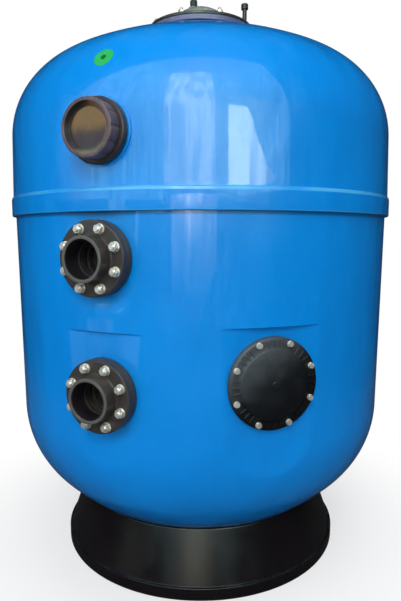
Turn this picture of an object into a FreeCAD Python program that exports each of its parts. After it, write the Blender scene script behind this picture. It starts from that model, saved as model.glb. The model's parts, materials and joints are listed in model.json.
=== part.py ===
"""Commercial sand filter for pool water: a glass-fibre vessel in two shells on a black plinth.

The origin is on the floor under the vessel's axis, +Z is up and the fittings face -Y. Every size
is a named cell of the sheet, in millimetres or degrees, and every sketch, pad and placement is
bound to those cells. A fitting on the wall is drawn in a frame of its own: its +Z points out of
the wall along the fitting's axis, its +Y points up, and its origin is on the vessel's axis, so
a height in that frame is the distance from the vessel's axis.
"""
import FreeCAD
import Part
import math
import os
import re
import Sketcher

SIZES = {
    # Vessel shells
    "vessel_radius": 700,
    "wall": 9,
    "upper_draft": 4,
    "belt_proud": 6,
    "belt_wall": 10,
    "belt_height": 67,
    "rim_cover": 7,
    "bond": 3,
    "lower_draft": 9,
    "bottom_clearance": 64.5,
    "lower_wall_height": 685,
    "lower_knuckle": 373,
    "lower_crown_extra": 119,
    "upper_wall_height": 203,
    "upper_knuckle": 308,
    "upper_crown_extra": 497,
    # Plinth
    "plinth_foot": 42,
    "plinth_step": 8,
    "plinth_inset": 217,
    "plinth_flare": 68,
    "plinth_lip": 41,
    "plinth_wall": 8,
    "plinth_lip_thickness": 12,
    # Neck and lid
    "neck_radius": 162,
    "neck_bore": 150,
    "neck_flange_radius": 199,
    "neck_flange_rise": 31,
    "neck_flange_thickness": 17,
    "lid_seal": 3,
    "lid_inset": 2,
    "lid_rim": 10,
    "lid_dome_radius": 130,
    "lid_dome_height": 80,
    "lid_dome_wall": 8,
    "lid_spigot_depth": 14,
    "lid_spigot_wall": 8,
    "lid_bolt_circle": 354,
    "lid_bolt_count": 8,
    "lid_bolt_radius": 6,
    "lid_hole_clearance": 0.5,
    "lid_head_flats": 19,
    "lid_head_height": 8,
    "lid_washer_radius": 12,
    "lid_washer_thickness": 2.5,
    "lid_nut_height": 10,
    "lid_thread_over": 7,
    # Tall guide stud of the lid and its cap
    "stud_rise": 66,
    "stud_cap_stem": 8,
    "stud_cap_head": 13,
    "stud_cap_head_height": 20,
    "stud_cap_top": 5,
    # Air bleed screw of the lid
    "bleed_offset": 26,
    "bleed_boss_radius": 20,
    "bleed_boss_rise": 5,
    "bleed_seal_thickness": 2,
    "bleed_seal_radius": 10,
    "bleed_stem_radius": 5,
    "bleed_stem_length": 24,
    "bleed_knob_radius": 14,
    "bleed_knob_height": 24,
    "bleed_knob_chamfer": 2,
    "bleed_flute_count": 8,
    "bleed_flute_radius": 2.5,
    "bleed_flute_offset": 1,
    "bleed_flute_start": 4,
    # Flanged ports
    "inlet_azimuth": 24.9,
    "inlet_drop": 133,
    "inlet_flat_depth": 15,
    "inlet_flat_below": 125,
    "outlet_azimuth": 24.5,
    "port_spacing": 400,
    "outlet_flat_depth": 20,
    "outlet_flat_above": 184,
    "outlet_flat_below": 255,
    "port_flange_radius": 110,
    "port_bore": 50,
    "port_hole": 58,
    "port_seal": 3,
    "port_seal_inset": 2,
    "port_wall_flange": 18,
    "port_flange": 22,
    "port_flange_chamfer": 3,
    "port_collar_radius": 66,
    "port_collar": 45,
    "port_collar_root": 5,
    "port_socket": 61,
    "port_bolt_circle": 180,
    "port_bolt_count": 8,
    "port_bolt_radius": 8,
    "port_hole_clearance": 1,
    "port_head_flats": 24,
    "port_head_height": 10,
    "port_washer_radius": 15,
    "port_washer_thickness": 3,
    "port_nut_height": 13,
    "port_thread_over": 5,
    # Sight glass
    "glass_azimuth": 23.2,
    "glass_rise": 216,
    "glass_boss_radius": 97,
    "glass_boss_proud": 4,
    "glass_boss_depth": 21,
    "glass_seal": 3,
    "glass_body_radius": 91,
    "glass_seal_inset": 2,
    "glass_body_flange": 20,
    "glass_body_chamfer": 4,
    "glass_thread_over": 8,
    "glass_spigot_radius": 64,
    "glass_bore": 50,
    "glass_seat_rise": 16,
    "glass_seat_radius": 70,
    "glass_window_radius": 62,
    "glass_window_thickness": 10,
    "glass_ring_radius": 79.5,
    "glass_ring_gap": 1,
    "glass_ring_length": 43,
    "glass_ring_opening": 64,
    "glass_ring_throat": 52,
    "glass_ring_chamfer": 3,
    "glass_grip_count": 12,
    "glass_grip_radius": 7,
    "glass_grip_offset": 5,
    "glass_fit": 0.4,
    "glass_back_nut_radius": 90,
    "glass_back_nut": 22,
    "glass_notch_count": 6,
    "glass_notch_radius": 10,
    "glass_notch_offset": 4,
    # Side manhole
    "manhole_azimuth": 17.8,
    "manhole_rise": 39,
    "manhole_flat_depth": 25,
    "manhole_flat_above": 164.5,
    "manhole_flat_below": 334,
    "manhole_opening": 102,
    "manhole_seal": 4,
    "manhole_seal_inset": 2,
    "manhole_cover_radius": 139,
    "manhole_cover_rim": 16,
    "manhole_disc_radius": 109,
    "manhole_disc_rise": 9,
    "manhole_chamfer": 6,
    "manhole_dome": 5,
    "manhole_boss_radius": 12,
    "manhole_boss_rise": 3,
    "manhole_spigot_gap": 1.5,
    "manhole_spigot_depth": 22,
    "manhole_spigot_wall": 10,
    "manhole_frame": 20,
    "manhole_bolt_circle": 252,
    "manhole_bolt_count": 8,
    "manhole_bolt_radius": 5,
    "manhole_hole_clearance": 0.5,
    "manhole_head_flats": 16,
    "manhole_head_height": 6.5,
    "manhole_washer_radius": 9.5,
    "manhole_washer_thickness": 2,
    "manhole_thread_short": 2,
    "manhole_rib_width": 5,
    "manhole_rib_root": 4,
    "manhole_rib_end": 8,
    "manhole_rib_sink": 1,
    "manhole_rib_spread": 9,
    # Inner pipes, collector and diffuser
    "pipe_radius": 55,
    "pipe_wall": 5,
    "bend_radius": 75,
    "bend_wall": 9,
    "bend_socket": 45,
    "riser_rise": 72,
    "diffuser_collar": 45,
    "diffuser_cone_radius": 125,
    "diffuser_cone_rise": 35,
    "diffuser_gap": 60,
    "diffuser_plate_radius": 150,
    "diffuser_wall": 6,
    "diffuser_rib_count": 6,
    "diffuser_rib_root": 1,
    "diffuser_rib_inset": 5,
    "lateral_rise": 197.5,
    "lateral_count": 8,
    "lateral_radius": 25,
    "lateral_wall": 4,
    "lateral_clearance": 248,
    "lateral_cap": 8,
    "slot_start": 115,
    "slot_end": 23,
    "slot_count": 8,
    "slot_width": 4,
    "slot_length": 12,
    "slot_bridge": 10,
    "hub_radius": 90,
    "hub_cavity": 50,
    "hub_socket": 24,
    "hub_cover": 12,
    "hub_collar": 45,
    "foot_radius": 70,
    "foot_post": 46,
    "foot_plate": 12,
}

DOCUMENT = FreeCAD.newDocument("sand_filter")
SHEET = DOCUMENT.addObject("Spreadsheet::Sheet", "sizes")
PARTS = {}
RUNNING_GAP = "0.4"


def fill_sheet():
    """Write every driving size in the sheet, one row each, and give its cell the size's name."""
    for row, (name, value) in enumerate(SIZES.items(), start=1):
        SHEET.set(f"A{row}", name)
        SHEET.set(f"B{row}", str(value))
        SHEET.setAlias(f"B{row}", name)
    DOCUMENT.recompute()


fill_sheet()

# Radii of the vessel, from the upper wall outwards to the belt and inwards to the lower shell
UPPER_FOOT_RADIUS = "(vessel_radius + upper_draft)"
BELT_RADIUS = f"({UPPER_FOOT_RADIUS} + belt_proud)"
RIM_RADIUS = f"({BELT_RADIUS} - belt_wall - bond)"
LOWER_RADIUS = f"({RIM_RADIUS} - lower_draft)"
LOWER_CROWN = f"({LOWER_RADIUS} + lower_crown_extra)"
UPPER_CROWN = "(vessel_radius + upper_crown_extra)"
LOWER_DEPTH = f"sqrt(pow({LOWER_CROWN} - lower_knuckle; 2) - pow({LOWER_RADIUS} - lower_knuckle; 2))"
UPPER_DEPTH = f"sqrt(pow({UPPER_CROWN} - upper_knuckle; 2) - pow(vessel_radius - upper_knuckle; 2))"

# Heights of the vessel that several pieces share, from the bottom of the dish upwards
LOWER_CROWN_CENTRE = f"(bottom_clearance + {LOWER_CROWN})"
LOWER_TANGENT = f"({LOWER_CROWN_CENTRE} - {LOWER_DEPTH})"
BELT_LOW = f"({LOWER_TANGENT} + lower_wall_height)"
BELT_TOP = f"({BELT_LOW} + belt_height)"
RIM_TOP = f"({BELT_TOP} - rim_cover)"
UPPER_TANGENT = f"({BELT_TOP} + upper_wall_height)"
UPPER_CROWN_CENTRE = f"({UPPER_TANGENT} - {UPPER_DEPTH})"
NECK_FLANGE_TOP = f"({UPPER_CROWN_CENTRE} + {UPPER_CROWN} + neck_flange_rise)"
NECK_FLANGE_UNDER = f"({NECK_FLANGE_TOP} - neck_flange_thickness)"
LATERAL_HEIGHT = "(bottom_clearance + lateral_rise)"
LATERAL_REACH = f"({LOWER_RADIUS} - lateral_clearance)"
RISER_TOP = f"({UPPER_TANGENT} + riser_rise)"
PLINTH_TOP_RADIUS = f"({LOWER_RADIUS} - plinth_inset)"
PLINTH_RADIUS = f"({PLINTH_TOP_RADIUS} + plinth_flare)"

# Height of each fitting, and how far from the vessel's axis the flat or boss that it sits on is
INLET_HEIGHT = f"({BELT_LOW} - inlet_drop)"
OUTLET_HEIGHT = f"({INLET_HEIGHT} - port_spacing)"
GLASS_HEIGHT = f"({BELT_LOW} + glass_rise)"
MANHOLE_HEIGHT = f"({OUTLET_HEIGHT} + manhole_rise)"
FLATS = {port: f"(vessel_radius - {port}_flat_depth)" for port in ("inlet", "outlet", "manhole")}
GLASS_BOSS_FACE = "(vessel_radius + glass_boss_proud)"

# Heights of the lid and what stands on it
LID_RADIUS = "(neck_flange_radius - lid_inset)"
LID_HOLE = "lid_bolt_radius + lid_hole_clearance"
LID_UNDER = f"({NECK_FLANGE_TOP} + lid_seal)"
LID_TOP = f"({LID_UNDER} + lid_rim)"
LID_SPHERE = "((pow(lid_dome_radius; 2) + pow(lid_dome_height; 2)) / (2 * lid_dome_height))"
LID_APEX = f"({LID_TOP} + lid_dome_height)"
BLEED_SEAT = f"({LID_APEX} + bleed_boss_rise)"
STUD_TOP = f"({LID_TOP} + stud_rise)"

# Stations along the sight glass, measured from the vessel's axis
GLASS_BODY_BACK = f"({GLASS_BOSS_FACE} + glass_seal)"
GLASS_BODY_FRONT = f"({GLASS_BODY_BACK} + glass_body_flange)"
GLASS_SEAT = f"({GLASS_BODY_FRONT} + glass_seat_rise)"
GLASS_RING_BACK = f"({GLASS_BODY_FRONT} + glass_ring_gap)"
GLASS_RING_FRONT = f"({GLASS_RING_BACK} + glass_ring_length)"
GLASS_INNER_FACE = f"({GLASS_BOSS_FACE} - glass_boss_depth)"
GLASS_NUT_FACE = f"({GLASS_INNER_FACE} - glass_seal)"

# Stations along the side manhole
COVER_BACK = f"({FLATS['manhole']} + manhole_seal)"
COVER_RIM = f"({COVER_BACK} + manhole_cover_rim)"
COVER_DISC = f"({COVER_RIM} + manhole_disc_rise)"
FRAME_FRONT = f"({FLATS['manhole']} - wall)"
FRAME_BACK = f"({FRAME_FRONT} - manhole_frame)"

BEND_SOCKET_END = "(bend_radius + bend_socket)"
FAR = "3000"
UPRIGHT = None


def bound(text):
    """Return the text with the sheet's name before each size in it."""
    return re.sub(r"[a-z_]+", lambda word: f"sizes.{word[0]}" if word[0] in SIZES else word[0], text)


def number(text):
    """Work out an expression of sizes."""
    return float(SHEET.evalExpression(text))


def bind(item, field, text):
    """Tie one property of an object to an expression of sizes."""
    item.setExpression(field, bound(text))


def new_body(label, frame=UPRIGHT):
    """Start a body, in the vessel's frame or in the frame of a fitting given as azimuth and height."""
    body = DOCUMENT.addObject("PartDesign::Body", label)
    body.Label = label
    if frame is not UPRIGHT:
        azimuth, height = frame
        bind(body, "Placement.Base.z", height)
        turn = f"rotation(vector(0; 0; 1); {azimuth}) * rotation(vector(1; 0; 0); 90)"
        bind(body, "Placement.Rotation", turn)
    return body


def keep(label, item):
    """Register an object as the finished sub-part of that name."""
    item.Label = label
    PARTS[label] = item
    return item


def new_sketch(body, role, lift="0"):
    """Attach a sketch to one of the body's own origin planes, moved along its normal."""
    plane = next(item for item in body.Origin.OriginFeatures if item.Role == role)
    sketch = body.newObject("Sketcher::SketchObject", f"{body.Name}_sketch")
    sketch.AttachmentSupport = [(plane, "")]
    sketch.MapMode = "FlatFace"
    bind(sketch, "AttachmentOffset.Base.z", lift)
    return sketch


def pin(sketch, geometry, point, across, up):
    """Hold one point of a sketch at two coordinates given as expressions."""
    for kind, text in (("DistanceX", across), ("DistanceY", up)):
        index = sketch.addConstraint(Sketcher.Constraint(kind, -1, 1, geometry, point, number(text)))
        bind(sketch, f"Constraints[{index}]", text)


def arc_between(start, end, radius):
    """Return the short arc between two points; a positive radius turns left, a negative one right."""
    chord = end - start
    half = chord.Length / 2
    side = FreeCAD.Vector(-chord.y, chord.x, 0).normalize()
    centre = start + chord * 0.5 + side * math.copysign(math.sqrt(radius * radius - half * half), radius)
    circle = Part.Circle(centre, FreeCAD.Vector(0, 0, 1), abs(radius))
    ends = (start, end) if radius > 0 else (end, start)
    angles = [math.atan2((point - centre).y, (point - centre).x) for point in ends]
    return Part.ArcOfCircle(circle, angles[0], angles[1])


def draw_outline(sketch, corners):
    """Draw a closed outline of (across, up) corners, with a radius as third value where an arc starts."""
    points = [FreeCAD.Vector(number(corner[0]), number(corner[1]), 0) for corner in corners]
    sides = []
    for index, corner in enumerate(corners):
        start = points[index]
        end = points[(index + 1) % len(points)]
        if len(corner) == 2:
            sides.append((sketch.addGeometry(Part.LineSegment(start, end)), 1, 2))
            continue
        radius = number(corner[2])
        side = sketch.addGeometry(arc_between(start, end, radius))
        sides.append((side, 1, 2) if radius > 0 else (side, 2, 1))
        held = sketch.addConstraint(Sketcher.Constraint("Radius", side, abs(radius)))
        bind(sketch, f"Constraints[{held}]", f"abs({corner[2]})")
    for index, (side, first, last) in enumerate(sides):
        after, after_first, after_last = sides[(index + 1) % len(sides)]
        sketch.addConstraint(Sketcher.Constraint("Coincident", side, last, after, after_first))
        pin(sketch, side, first, corners[index][0], corners[index][1])


def draw_circle(sketch, across, up, radius):
    """Draw a circle with its centre and radius bound to expressions."""
    centre = FreeCAD.Vector(number(across), number(up), 0)
    circle = sketch.addGeometry(Part.Circle(centre, FreeCAD.Vector(0, 0, 1), number(radius)))
    pin(sketch, circle, 3, across, up)
    held = sketch.addConstraint(Sketcher.Constraint("Radius", circle, number(radius)))
    bind(sketch, f"Constraints[{held}]", radius)


def draw_hexagon(sketch, across, up, flats):
    """Draw a hexagon of a given width across its flats."""
    corners = []
    for step in range(6):
        reach = f"({flats}) / (2 * cos(30)) * "
        corners.append((f"{across} + {reach}cos({60 * step})", f"{up} + {reach}sin({60 * step})"))
    draw_outline(sketch, corners)


def turned(body, corners):
    """Turn an outline of (radius, height) corners about the body's Z axis."""
    sketch = new_sketch(body, "XZ_Plane")
    draw_outline(sketch, corners)
    feature = body.newObject("PartDesign::Revolution", f"{body.Name}_turned")
    feature.Profile = sketch
    feature.ReferenceAxis = (sketch, ["V_Axis"])
    feature.Angle = 360
    body.Tip = feature
    return feature


def padded(body, sketch, length):
    """Raise a sketch along its normal."""
    feature = body.newObject("PartDesign::Pad", f"{body.Name}_pad")
    feature.Profile = sketch
    bind(feature, "Length", length)
    body.Tip = feature
    return feature


def pocketed(body, sketch):
    """Cut a sketch through the body, both ways."""
    feature = body.newObject("PartDesign::Pocket", f"{body.Name}_pocket")
    feature.Profile = sketch
    feature.SideType = "Symmetric"
    feature.Type = "Length"
    bind(feature, "Length", f"2 * {FAR}")
    body.Tip = feature
    return feature


def repeated(body, features, count, whole="360"):
    """Repeat features about the body's Z axis."""
    axis = next(item for item in body.Origin.OriginFeatures if item.Role == "Z_Axis")
    pattern = body.newObject("PartDesign::PolarPattern", f"{body.Name}_pattern")
    pattern.Originals = features
    pattern.Axis = (axis, [""])
    bind(pattern, "Angle", whole)
    bind(pattern, "Occurrences", count)
    body.Tip = pattern
    return pattern


def ring(label, frame, inner, outer, low, high):
    """Make a plain ring: a washer, seal or pipe about its frame's Z axis."""
    body = new_body(label, frame)
    turned(body, [(inner, low), (outer, low), (outer, high), (inner, high)])
    return keep(label, body)


def on_circle(diameter, count):
    """Return the place of the first of several bolts that straddle the centre lines."""
    return f"({diameter} / 2 * cos(180 / {count}))", f"({diameter} / 2 * sin(180 / {count}))"


def drilled(body, diameter, count, radius):
    """Cut a circle of equal holes through a body."""
    across, up = on_circle(diameter, count)
    sketch = new_sketch(body, "XY_Plane")
    draw_circle(sketch, across, up, radius)
    return repeated(body, [pocketed(body, sketch)], count)


def joined(label, pieces):
    """Join objects into one solid."""
    item = DOCUMENT.addObject("Part::MultiFuse", label)
    item.Shapes = pieces
    return item


def cut_from(label, base, tool):
    """Take one object out of another."""
    item = DOCUMENT.addObject("Part::Cut", label)
    item.Base = base
    item.Tool = tool
    return item


def bolt(body, across, up, kind, under, top, points_up=True):
    """Make a hexagon bolt whose head bears at `under` and whose shank ends at `top`."""
    head_low = f"({under} - {kind}_head_height)" if points_up else under
    head = new_sketch(body, "XY_Plane", head_low)
    draw_hexagon(head, across, up, f"{kind}_head_flats")
    head_pad = padded(body, head, f"{kind}_head_height")
    shank = new_sketch(body, "XY_Plane", under if points_up else top)
    draw_circle(shank, across, up, f"{kind}_bolt_radius")
    return [head_pad, padded(body, shank, f"abs({top} - {under})")]


def bolts(label, frame, kind, under, top, points_up=True):
    """Make a full circle of hexagon bolts."""
    body = new_body(label, frame)
    across, up = on_circle(f"{kind}_bolt_circle", f"{kind}_bolt_count")
    repeated(body, bolt(body, across, up, kind, under, top, points_up), f"{kind}_bolt_count")
    return keep(label, body)


def washers(label, frame, kind, low, bore):
    """Make a ring of flat washers."""
    body = new_body(label, frame)
    across, up = on_circle(f"{kind}_bolt_circle", f"{kind}_bolt_count")
    sketch = new_sketch(body, "XY_Plane", low)
    draw_circle(sketch, across, up, f"{kind}_washer_radius")
    draw_circle(sketch, across, up, bore)
    repeated(body, [padded(body, sketch, f"{kind}_washer_thickness")], f"{kind}_bolt_count")
    return keep(label, body)


def nuts(label, frame, kind, low, bore):
    """Make a ring of hexagon nuts."""
    body = new_body(label, frame)
    across, up = on_circle(f"{kind}_bolt_circle", f"{kind}_bolt_count")
    sketch = new_sketch(body, "XY_Plane", low)
    draw_hexagon(sketch, across, up, f"{kind}_head_flats")
    draw_circle(sketch, across, up, bore)
    repeated(body, [padded(body, sketch, f"{kind}_nut_height")], f"{kind}_bolt_count")
    return keep(label, body)


def head_corner(radius, knuckle, crown, centre, sign, inset):
    """Return the corner where the knuckle of a dished head meets its crown."""
    share = f"(({crown} - {inset}) / ({crown} - {knuckle}))"
    rise = f"sqrt(pow({crown} - {knuckle}; 2) - pow({radius} - {knuckle}; 2))"
    return f"({radius} - {knuckle}) * {share}", f"{centre} {sign} {rise} * {share}"


def lower_outline(inset, top):
    """Return the corners of the lower shell's outside, or of its cavity, down to the axis."""
    junction = head_corner(LOWER_RADIUS, "lower_knuckle", LOWER_CROWN, LOWER_CROWN_CENTRE, "-", inset)
    return [
        ("0", f"bottom_clearance + {inset}", f"{LOWER_CROWN} - {inset}"),
        (*junction, f"lower_knuckle - {inset}"),
        (f"{LOWER_RADIUS} - {inset}", LOWER_TANGENT),
        (f"{RIM_RADIUS} - {inset}", BELT_LOW),
        (f"{RIM_RADIUS} - {inset}", top),
        ("0", top),
    ]


def flat_block(label, frame, face, low, high):
    """Make the block that lies outside a flat on the wall, from its face outwards."""
    body = new_body(label, frame)
    height = frame[1]
    half_width = f"{BELT_RADIUS} / 2"
    sketch = new_sketch(body, "XY_Plane", face)
    draw_outline(
        sketch,
        [
            (f"-{half_width}", f"{low} - {height}"),
            (half_width, f"{low} - {height}"),
            (half_width, f"{high} - {height}"),
            (f"-{half_width}", f"{high} - {height}"),
        ],
    )
    padded(body, sketch, f"{BELT_RADIUS} / 4")
    return body


def drill(label, frame, kind, opening, bolt_hole):
    """Make the tool that cuts a fitting's opening and its bolt holes through the wall."""
    body = new_body(label, frame)
    bore = new_sketch(body, "XY_Plane", f"{BELT_RADIUS} / 2")
    draw_circle(bore, "0", "0", opening)
    padded(body, bore, BELT_RADIUS)
    across, up = on_circle(f"{kind}_bolt_circle", f"{kind}_bolt_count")
    hole = new_sketch(body, "XY_Plane", f"{BELT_RADIUS} / 2")
    draw_circle(hole, across, up, bolt_hole)
    repeated(body, [padded(body, hole, BELT_RADIUS)], f"{kind}_bolt_count")
    return body


INLET = ("-inlet_azimuth", INLET_HEIGHT)
OUTLET = ("-outlet_azimuth", OUTLET_HEIGHT)
GLASS = ("-glass_azimuth", GLASS_HEIGHT)
MANHOLE = ("manhole_azimuth", MANHOLE_HEIGHT)


def make_lower_shell():
    """Lower half of the vessel: dished bottom, tapered wall, and flats moulded in for the fittings."""
    outside = new_body("lower_outside")
    turned(outside, lower_outline("0", RIM_TOP))
    cavity = new_body("lower_cavity")
    turned(cavity, lower_outline("wall", f"{RIM_TOP} + wall"))
    flats = (
        ("inlet", INLET, BELT_LOW),
        ("outlet", OUTLET, f"{OUTLET_HEIGHT} + outlet_flat_above"),
        ("manhole", MANHOLE, f"{MANHOLE_HEIGHT} + manhole_flat_above"),
    )
    outer_blocks = []
    inner_blocks = []
    for name, frame, high in flats:
        face = FLATS[name]
        low = f"{frame[1]} - {name}_flat_below"
        outer_blocks.append(flat_block(f"{name}_outer_flat", frame, face, low, high))
        inner_face = f"{face} - wall"
        inner = flat_block(f"{name}_inner_flat", frame, inner_face, f"{low} - wall", f"{high} + wall")
        inner_blocks.append(inner)
    form = cut_from("lower_form", outside, joined("outer_flats", outer_blocks))
    hollow = cut_from("lower_hollow", cavity, joined("inner_flats", inner_blocks))
    port_bolt_hole = "port_bolt_radius + port_hole_clearance"
    drills = [
        drill("inlet_drill", INLET, "port", "port_hole", port_bolt_hole),
        drill("outlet_drill", OUTLET, "port", "port_hole", port_bolt_hole),
        drill(
            "manhole_drill",
            MANHOLE,
            "manhole",
            "manhole_opening",
            "manhole_bolt_radius + manhole_hole_clearance",
        ),
    ]
    tool = joined("lower_openings", [hollow, *drills])
    keep("lower_shell", cut_from("lower_shell", form, tool))


def make_upper_shell():
    """Upper half of the vessel: belt, wall, dished top, and the neck with its bolted flange."""
    head = ("vessel_radius", "upper_knuckle", UPPER_CROWN, UPPER_CROWN_CENTRE, "+")
    outer_corner = head_corner(*head, "0")
    inner_corner = head_corner(*head, "wall")
    neck_foot = f"{UPPER_CROWN_CENTRE} + sqrt(pow({UPPER_CROWN}; 2) - pow(neck_radius; 2))"
    bore_foot = f"{UPPER_CROWN_CENTRE} + sqrt(pow({UPPER_CROWN} - wall; 2) - pow(neck_bore; 2))"
    body = new_body("upper_body")
    turned(
        body,
        [
            (BELT_RADIUS, BELT_LOW),
            (BELT_RADIUS, BELT_TOP),
            (UPPER_FOOT_RADIUS, BELT_TOP),
            ("vessel_radius", UPPER_TANGENT, "upper_knuckle"),
            (*outer_corner, UPPER_CROWN),
            ("neck_radius", neck_foot),
            ("neck_radius", NECK_FLANGE_UNDER),
            ("neck_flange_radius", NECK_FLANGE_UNDER),
            ("neck_flange_radius", NECK_FLANGE_TOP),
            ("neck_bore", NECK_FLANGE_TOP),
            ("neck_bore", bore_foot, f"-({UPPER_CROWN} - wall)"),
            (*inner_corner, "-(upper_knuckle - wall)"),
            ("vessel_radius - wall", UPPER_TANGENT),
            (f"{UPPER_FOOT_RADIUS} - wall", f"{RIM_TOP} + bond"),
            (f"{RIM_RADIUS} + bond", f"{RIM_TOP} + bond"),
            (f"{RIM_RADIUS} + bond", BELT_LOW),
        ],
    )
    drilled(body, "lid_bolt_circle", "lid_bolt_count", LID_HOLE)
    boss = new_body("glass_boss", GLASS)
    face = new_sketch(boss, "XY_Plane", GLASS_INNER_FACE)
    draw_circle(face, "0", "0", "glass_boss_radius")
    padded(boss, face, "glass_boss_depth")
    opening = new_body("glass_drill", GLASS)
    hole = new_sketch(opening, "XY_Plane", f"{BELT_RADIUS} / 2")
    draw_circle(hole, "0", "0", "glass_spigot_radius + glass_fit")
    padded(opening, hole, BELT_RADIUS)
    keep("upper_shell", cut_from("upper_shell", joined("upper_form", [body, boss]), opening))


def make_shell_bond():
    """Laminate joint that fills the gap between the lower shell's rim and the belt."""
    body = new_body("shell_bond")
    turned(
        body,
        [
            (RIM_RADIUS, BELT_LOW),
            (f"{RIM_RADIUS} + bond", BELT_LOW),
            (f"{RIM_RADIUS} + bond", f"{RIM_TOP} + bond"),
            (f"{RIM_RADIUS} - wall", f"{RIM_TOP} + bond"),
            (f"{RIM_RADIUS} - wall", RIM_TOP),
            (RIM_RADIUS, RIM_TOP),
        ],
    )
    keep("shell_bond", body)


def seat_height(radius):
    """Return the height of the lower shell's outside at a radius of its crown."""
    return f"{LOWER_CROWN_CENTRE} - sqrt(pow({LOWER_CROWN}; 2) - pow({radius}; 2))"


def make_plinth():
    """Hollow moulded plinth: a foot band, a tapered wall, and a lip that follows the dished bottom."""
    body = new_body("base_plinth")
    shoulder = f"{PLINTH_RADIUS} - plinth_step"
    lip_inner = f"{PLINTH_TOP_RADIUS} - plinth_lip"
    lip_under = f"({seat_height(lip_inner)} - plinth_lip_thickness)"
    drop = f"({seat_height(PLINTH_TOP_RADIUS)} - {lip_under})"
    rise = f"({seat_height(PLINTH_TOP_RADIUS)} - plinth_foot)"
    taper = f"({shoulder} - {PLINTH_TOP_RADIUS})"
    turned(
        body,
        [
            (PLINTH_RADIUS, "0"),
            (PLINTH_RADIUS, "plinth_foot"),
            (shoulder, "plinth_foot + plinth_step / 4"),
            (PLINTH_TOP_RADIUS, seat_height(PLINTH_TOP_RADIUS), f"-{LOWER_CROWN}"),
            (lip_inner, seat_height(lip_inner)),
            (lip_inner, lip_under),
            (f"{PLINTH_TOP_RADIUS} + {taper} * {drop} / {rise} - plinth_wall", lip_under),
            (f"{shoulder} - plinth_wall", "plinth_foot"),
            (f"{shoulder} - plinth_wall", "0"),
        ],
    )
    keep("base_plinth", body)


def make_lid():
    """Clear lid: a bolted rim, a dome with a boss for the bleed screw, and a spigot that centres it."""
    body = new_body("lid_form")
    spigot = f"neck_bore - 2 * {RUNNING_GAP}"
    sphere_centre = f"({LID_APEX} - {LID_SPHERE})"
    inner_sphere = f"({LID_SPHERE} - lid_dome_wall)"
    inner_foot = f"sqrt(pow({inner_sphere}; 2) - pow({LID_UNDER} - {sphere_centre}; 2))"
    turned(
        body,
        [
            ("0", f"{LID_APEX} - lid_dome_wall", f"-{inner_sphere}"),
            (inner_foot, LID_UNDER),
            (f"{spigot} - lid_spigot_wall", LID_UNDER),
            (f"{spigot} - lid_spigot_wall", f"{LID_UNDER} - lid_spigot_depth"),
            (spigot, f"{LID_UNDER} - lid_spigot_depth"),
            (spigot, LID_UNDER),
            (LID_RADIUS, LID_UNDER),
            (LID_RADIUS, LID_TOP),
            ("lid_dome_radius", LID_TOP, LID_SPHERE),
            ("0", LID_APEX),
        ],
    )
    boss_low = f"({LID_APEX} - lid_dome_wall - bleed_boss_rise)"
    boss = new_sketch(body, "XY_Plane", boss_low)
    draw_circle(boss, "-bleed_offset", "0", "bleed_boss_radius")
    padded(body, boss, f"{BLEED_SEAT} - {boss_low}")
    bore = new_sketch(body, "XY_Plane")
    draw_circle(bore, "-bleed_offset", "0", f"bleed_stem_radius + {RUNNING_GAP}")
    pocketed(body, bore)
    drilled(body, "lid_bolt_circle", "lid_bolt_count", LID_HOLE)
    keep("top_lid", body)


def make_lid_fasteners():
    """Flat seal, bolts, washers and nuts of the lid. The last bolt place is left to the guide stud."""
    body = new_body("lid_gasket")
    turned(
        body,
        [
            ("neck_bore", NECK_FLANGE_TOP),
            (f"{LID_RADIUS} - lid_inset", NECK_FLANGE_TOP),
            (f"{LID_RADIUS} - lid_inset", LID_UNDER),
            ("neck_bore", LID_UNDER),
        ],
    )
    drilled(body, "lid_bolt_circle", "lid_bolt_count", LID_HOLE)
    keep("lid_gasket", body)
    nut_low = f"({LID_TOP} + lid_washer_thickness)"
    nut_top = f"({nut_low} + lid_nut_height)"
    bore = f"lid_bolt_radius + {RUNNING_GAP}"
    short = new_body("lid_bolts")
    across, up = on_circle("lid_bolt_circle", "lid_bolt_count")
    features = bolt(short, across, up, "lid", NECK_FLANGE_UNDER, f"({nut_top} + lid_thread_over)")
    repeated(short, features, "lid_bolt_count - 1", "360 - 720 / lid_bolt_count")
    keep("lid_bolts", short)
    washers("lid_washers", UPRIGHT, "lid", LID_TOP, bore)
    nuts("lid_nuts", UPRIGHT, "lid", nut_low, bore)


def make_guide_stud():
    """Tall stud that guides the lid on, front right, with its head under the flange, and its cap."""
    across, forward = on_circle("lid_bolt_circle", "lid_bolt_count")
    back = f"(-{forward})"
    nut_top = f"({LID_TOP} + lid_washer_thickness + lid_nut_height)"
    stud = new_body("guide_stud")
    bolt(stud, across, back, "lid", NECK_FLANGE_UNDER, STUD_TOP)
    keep("guide_stud", stud)
    cap = new_body("guide_stud_cap")
    stem = new_sketch(cap, "XY_Plane", nut_top)
    draw_circle(stem, across, back, "stud_cap_stem")
    draw_circle(stem, across, back, f"lid_bolt_radius + {RUNNING_GAP}")
    padded(cap, stem, f"{STUD_TOP} + {RUNNING_GAP} - {nut_top}")
    head_low = f"({STUD_TOP} + stud_cap_top - stud_cap_head_height)"
    head = new_sketch(cap, "XY_Plane", head_low)
    draw_circle(head, across, back, "stud_cap_head")
    draw_circle(head, across, back, f"lid_bolt_radius + {RUNNING_GAP}")
    padded(cap, head, f"{STUD_TOP} + {RUNNING_GAP} - {head_low}")
    top = new_sketch(cap, "XY_Plane", f"{STUD_TOP} + {RUNNING_GAP}")
    draw_circle(top, across, back, "stud_cap_head")
    padded(cap, top, f"stud_cap_top - {RUNNING_GAP}")
    keep("guide_stud_cap", cap)


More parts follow.
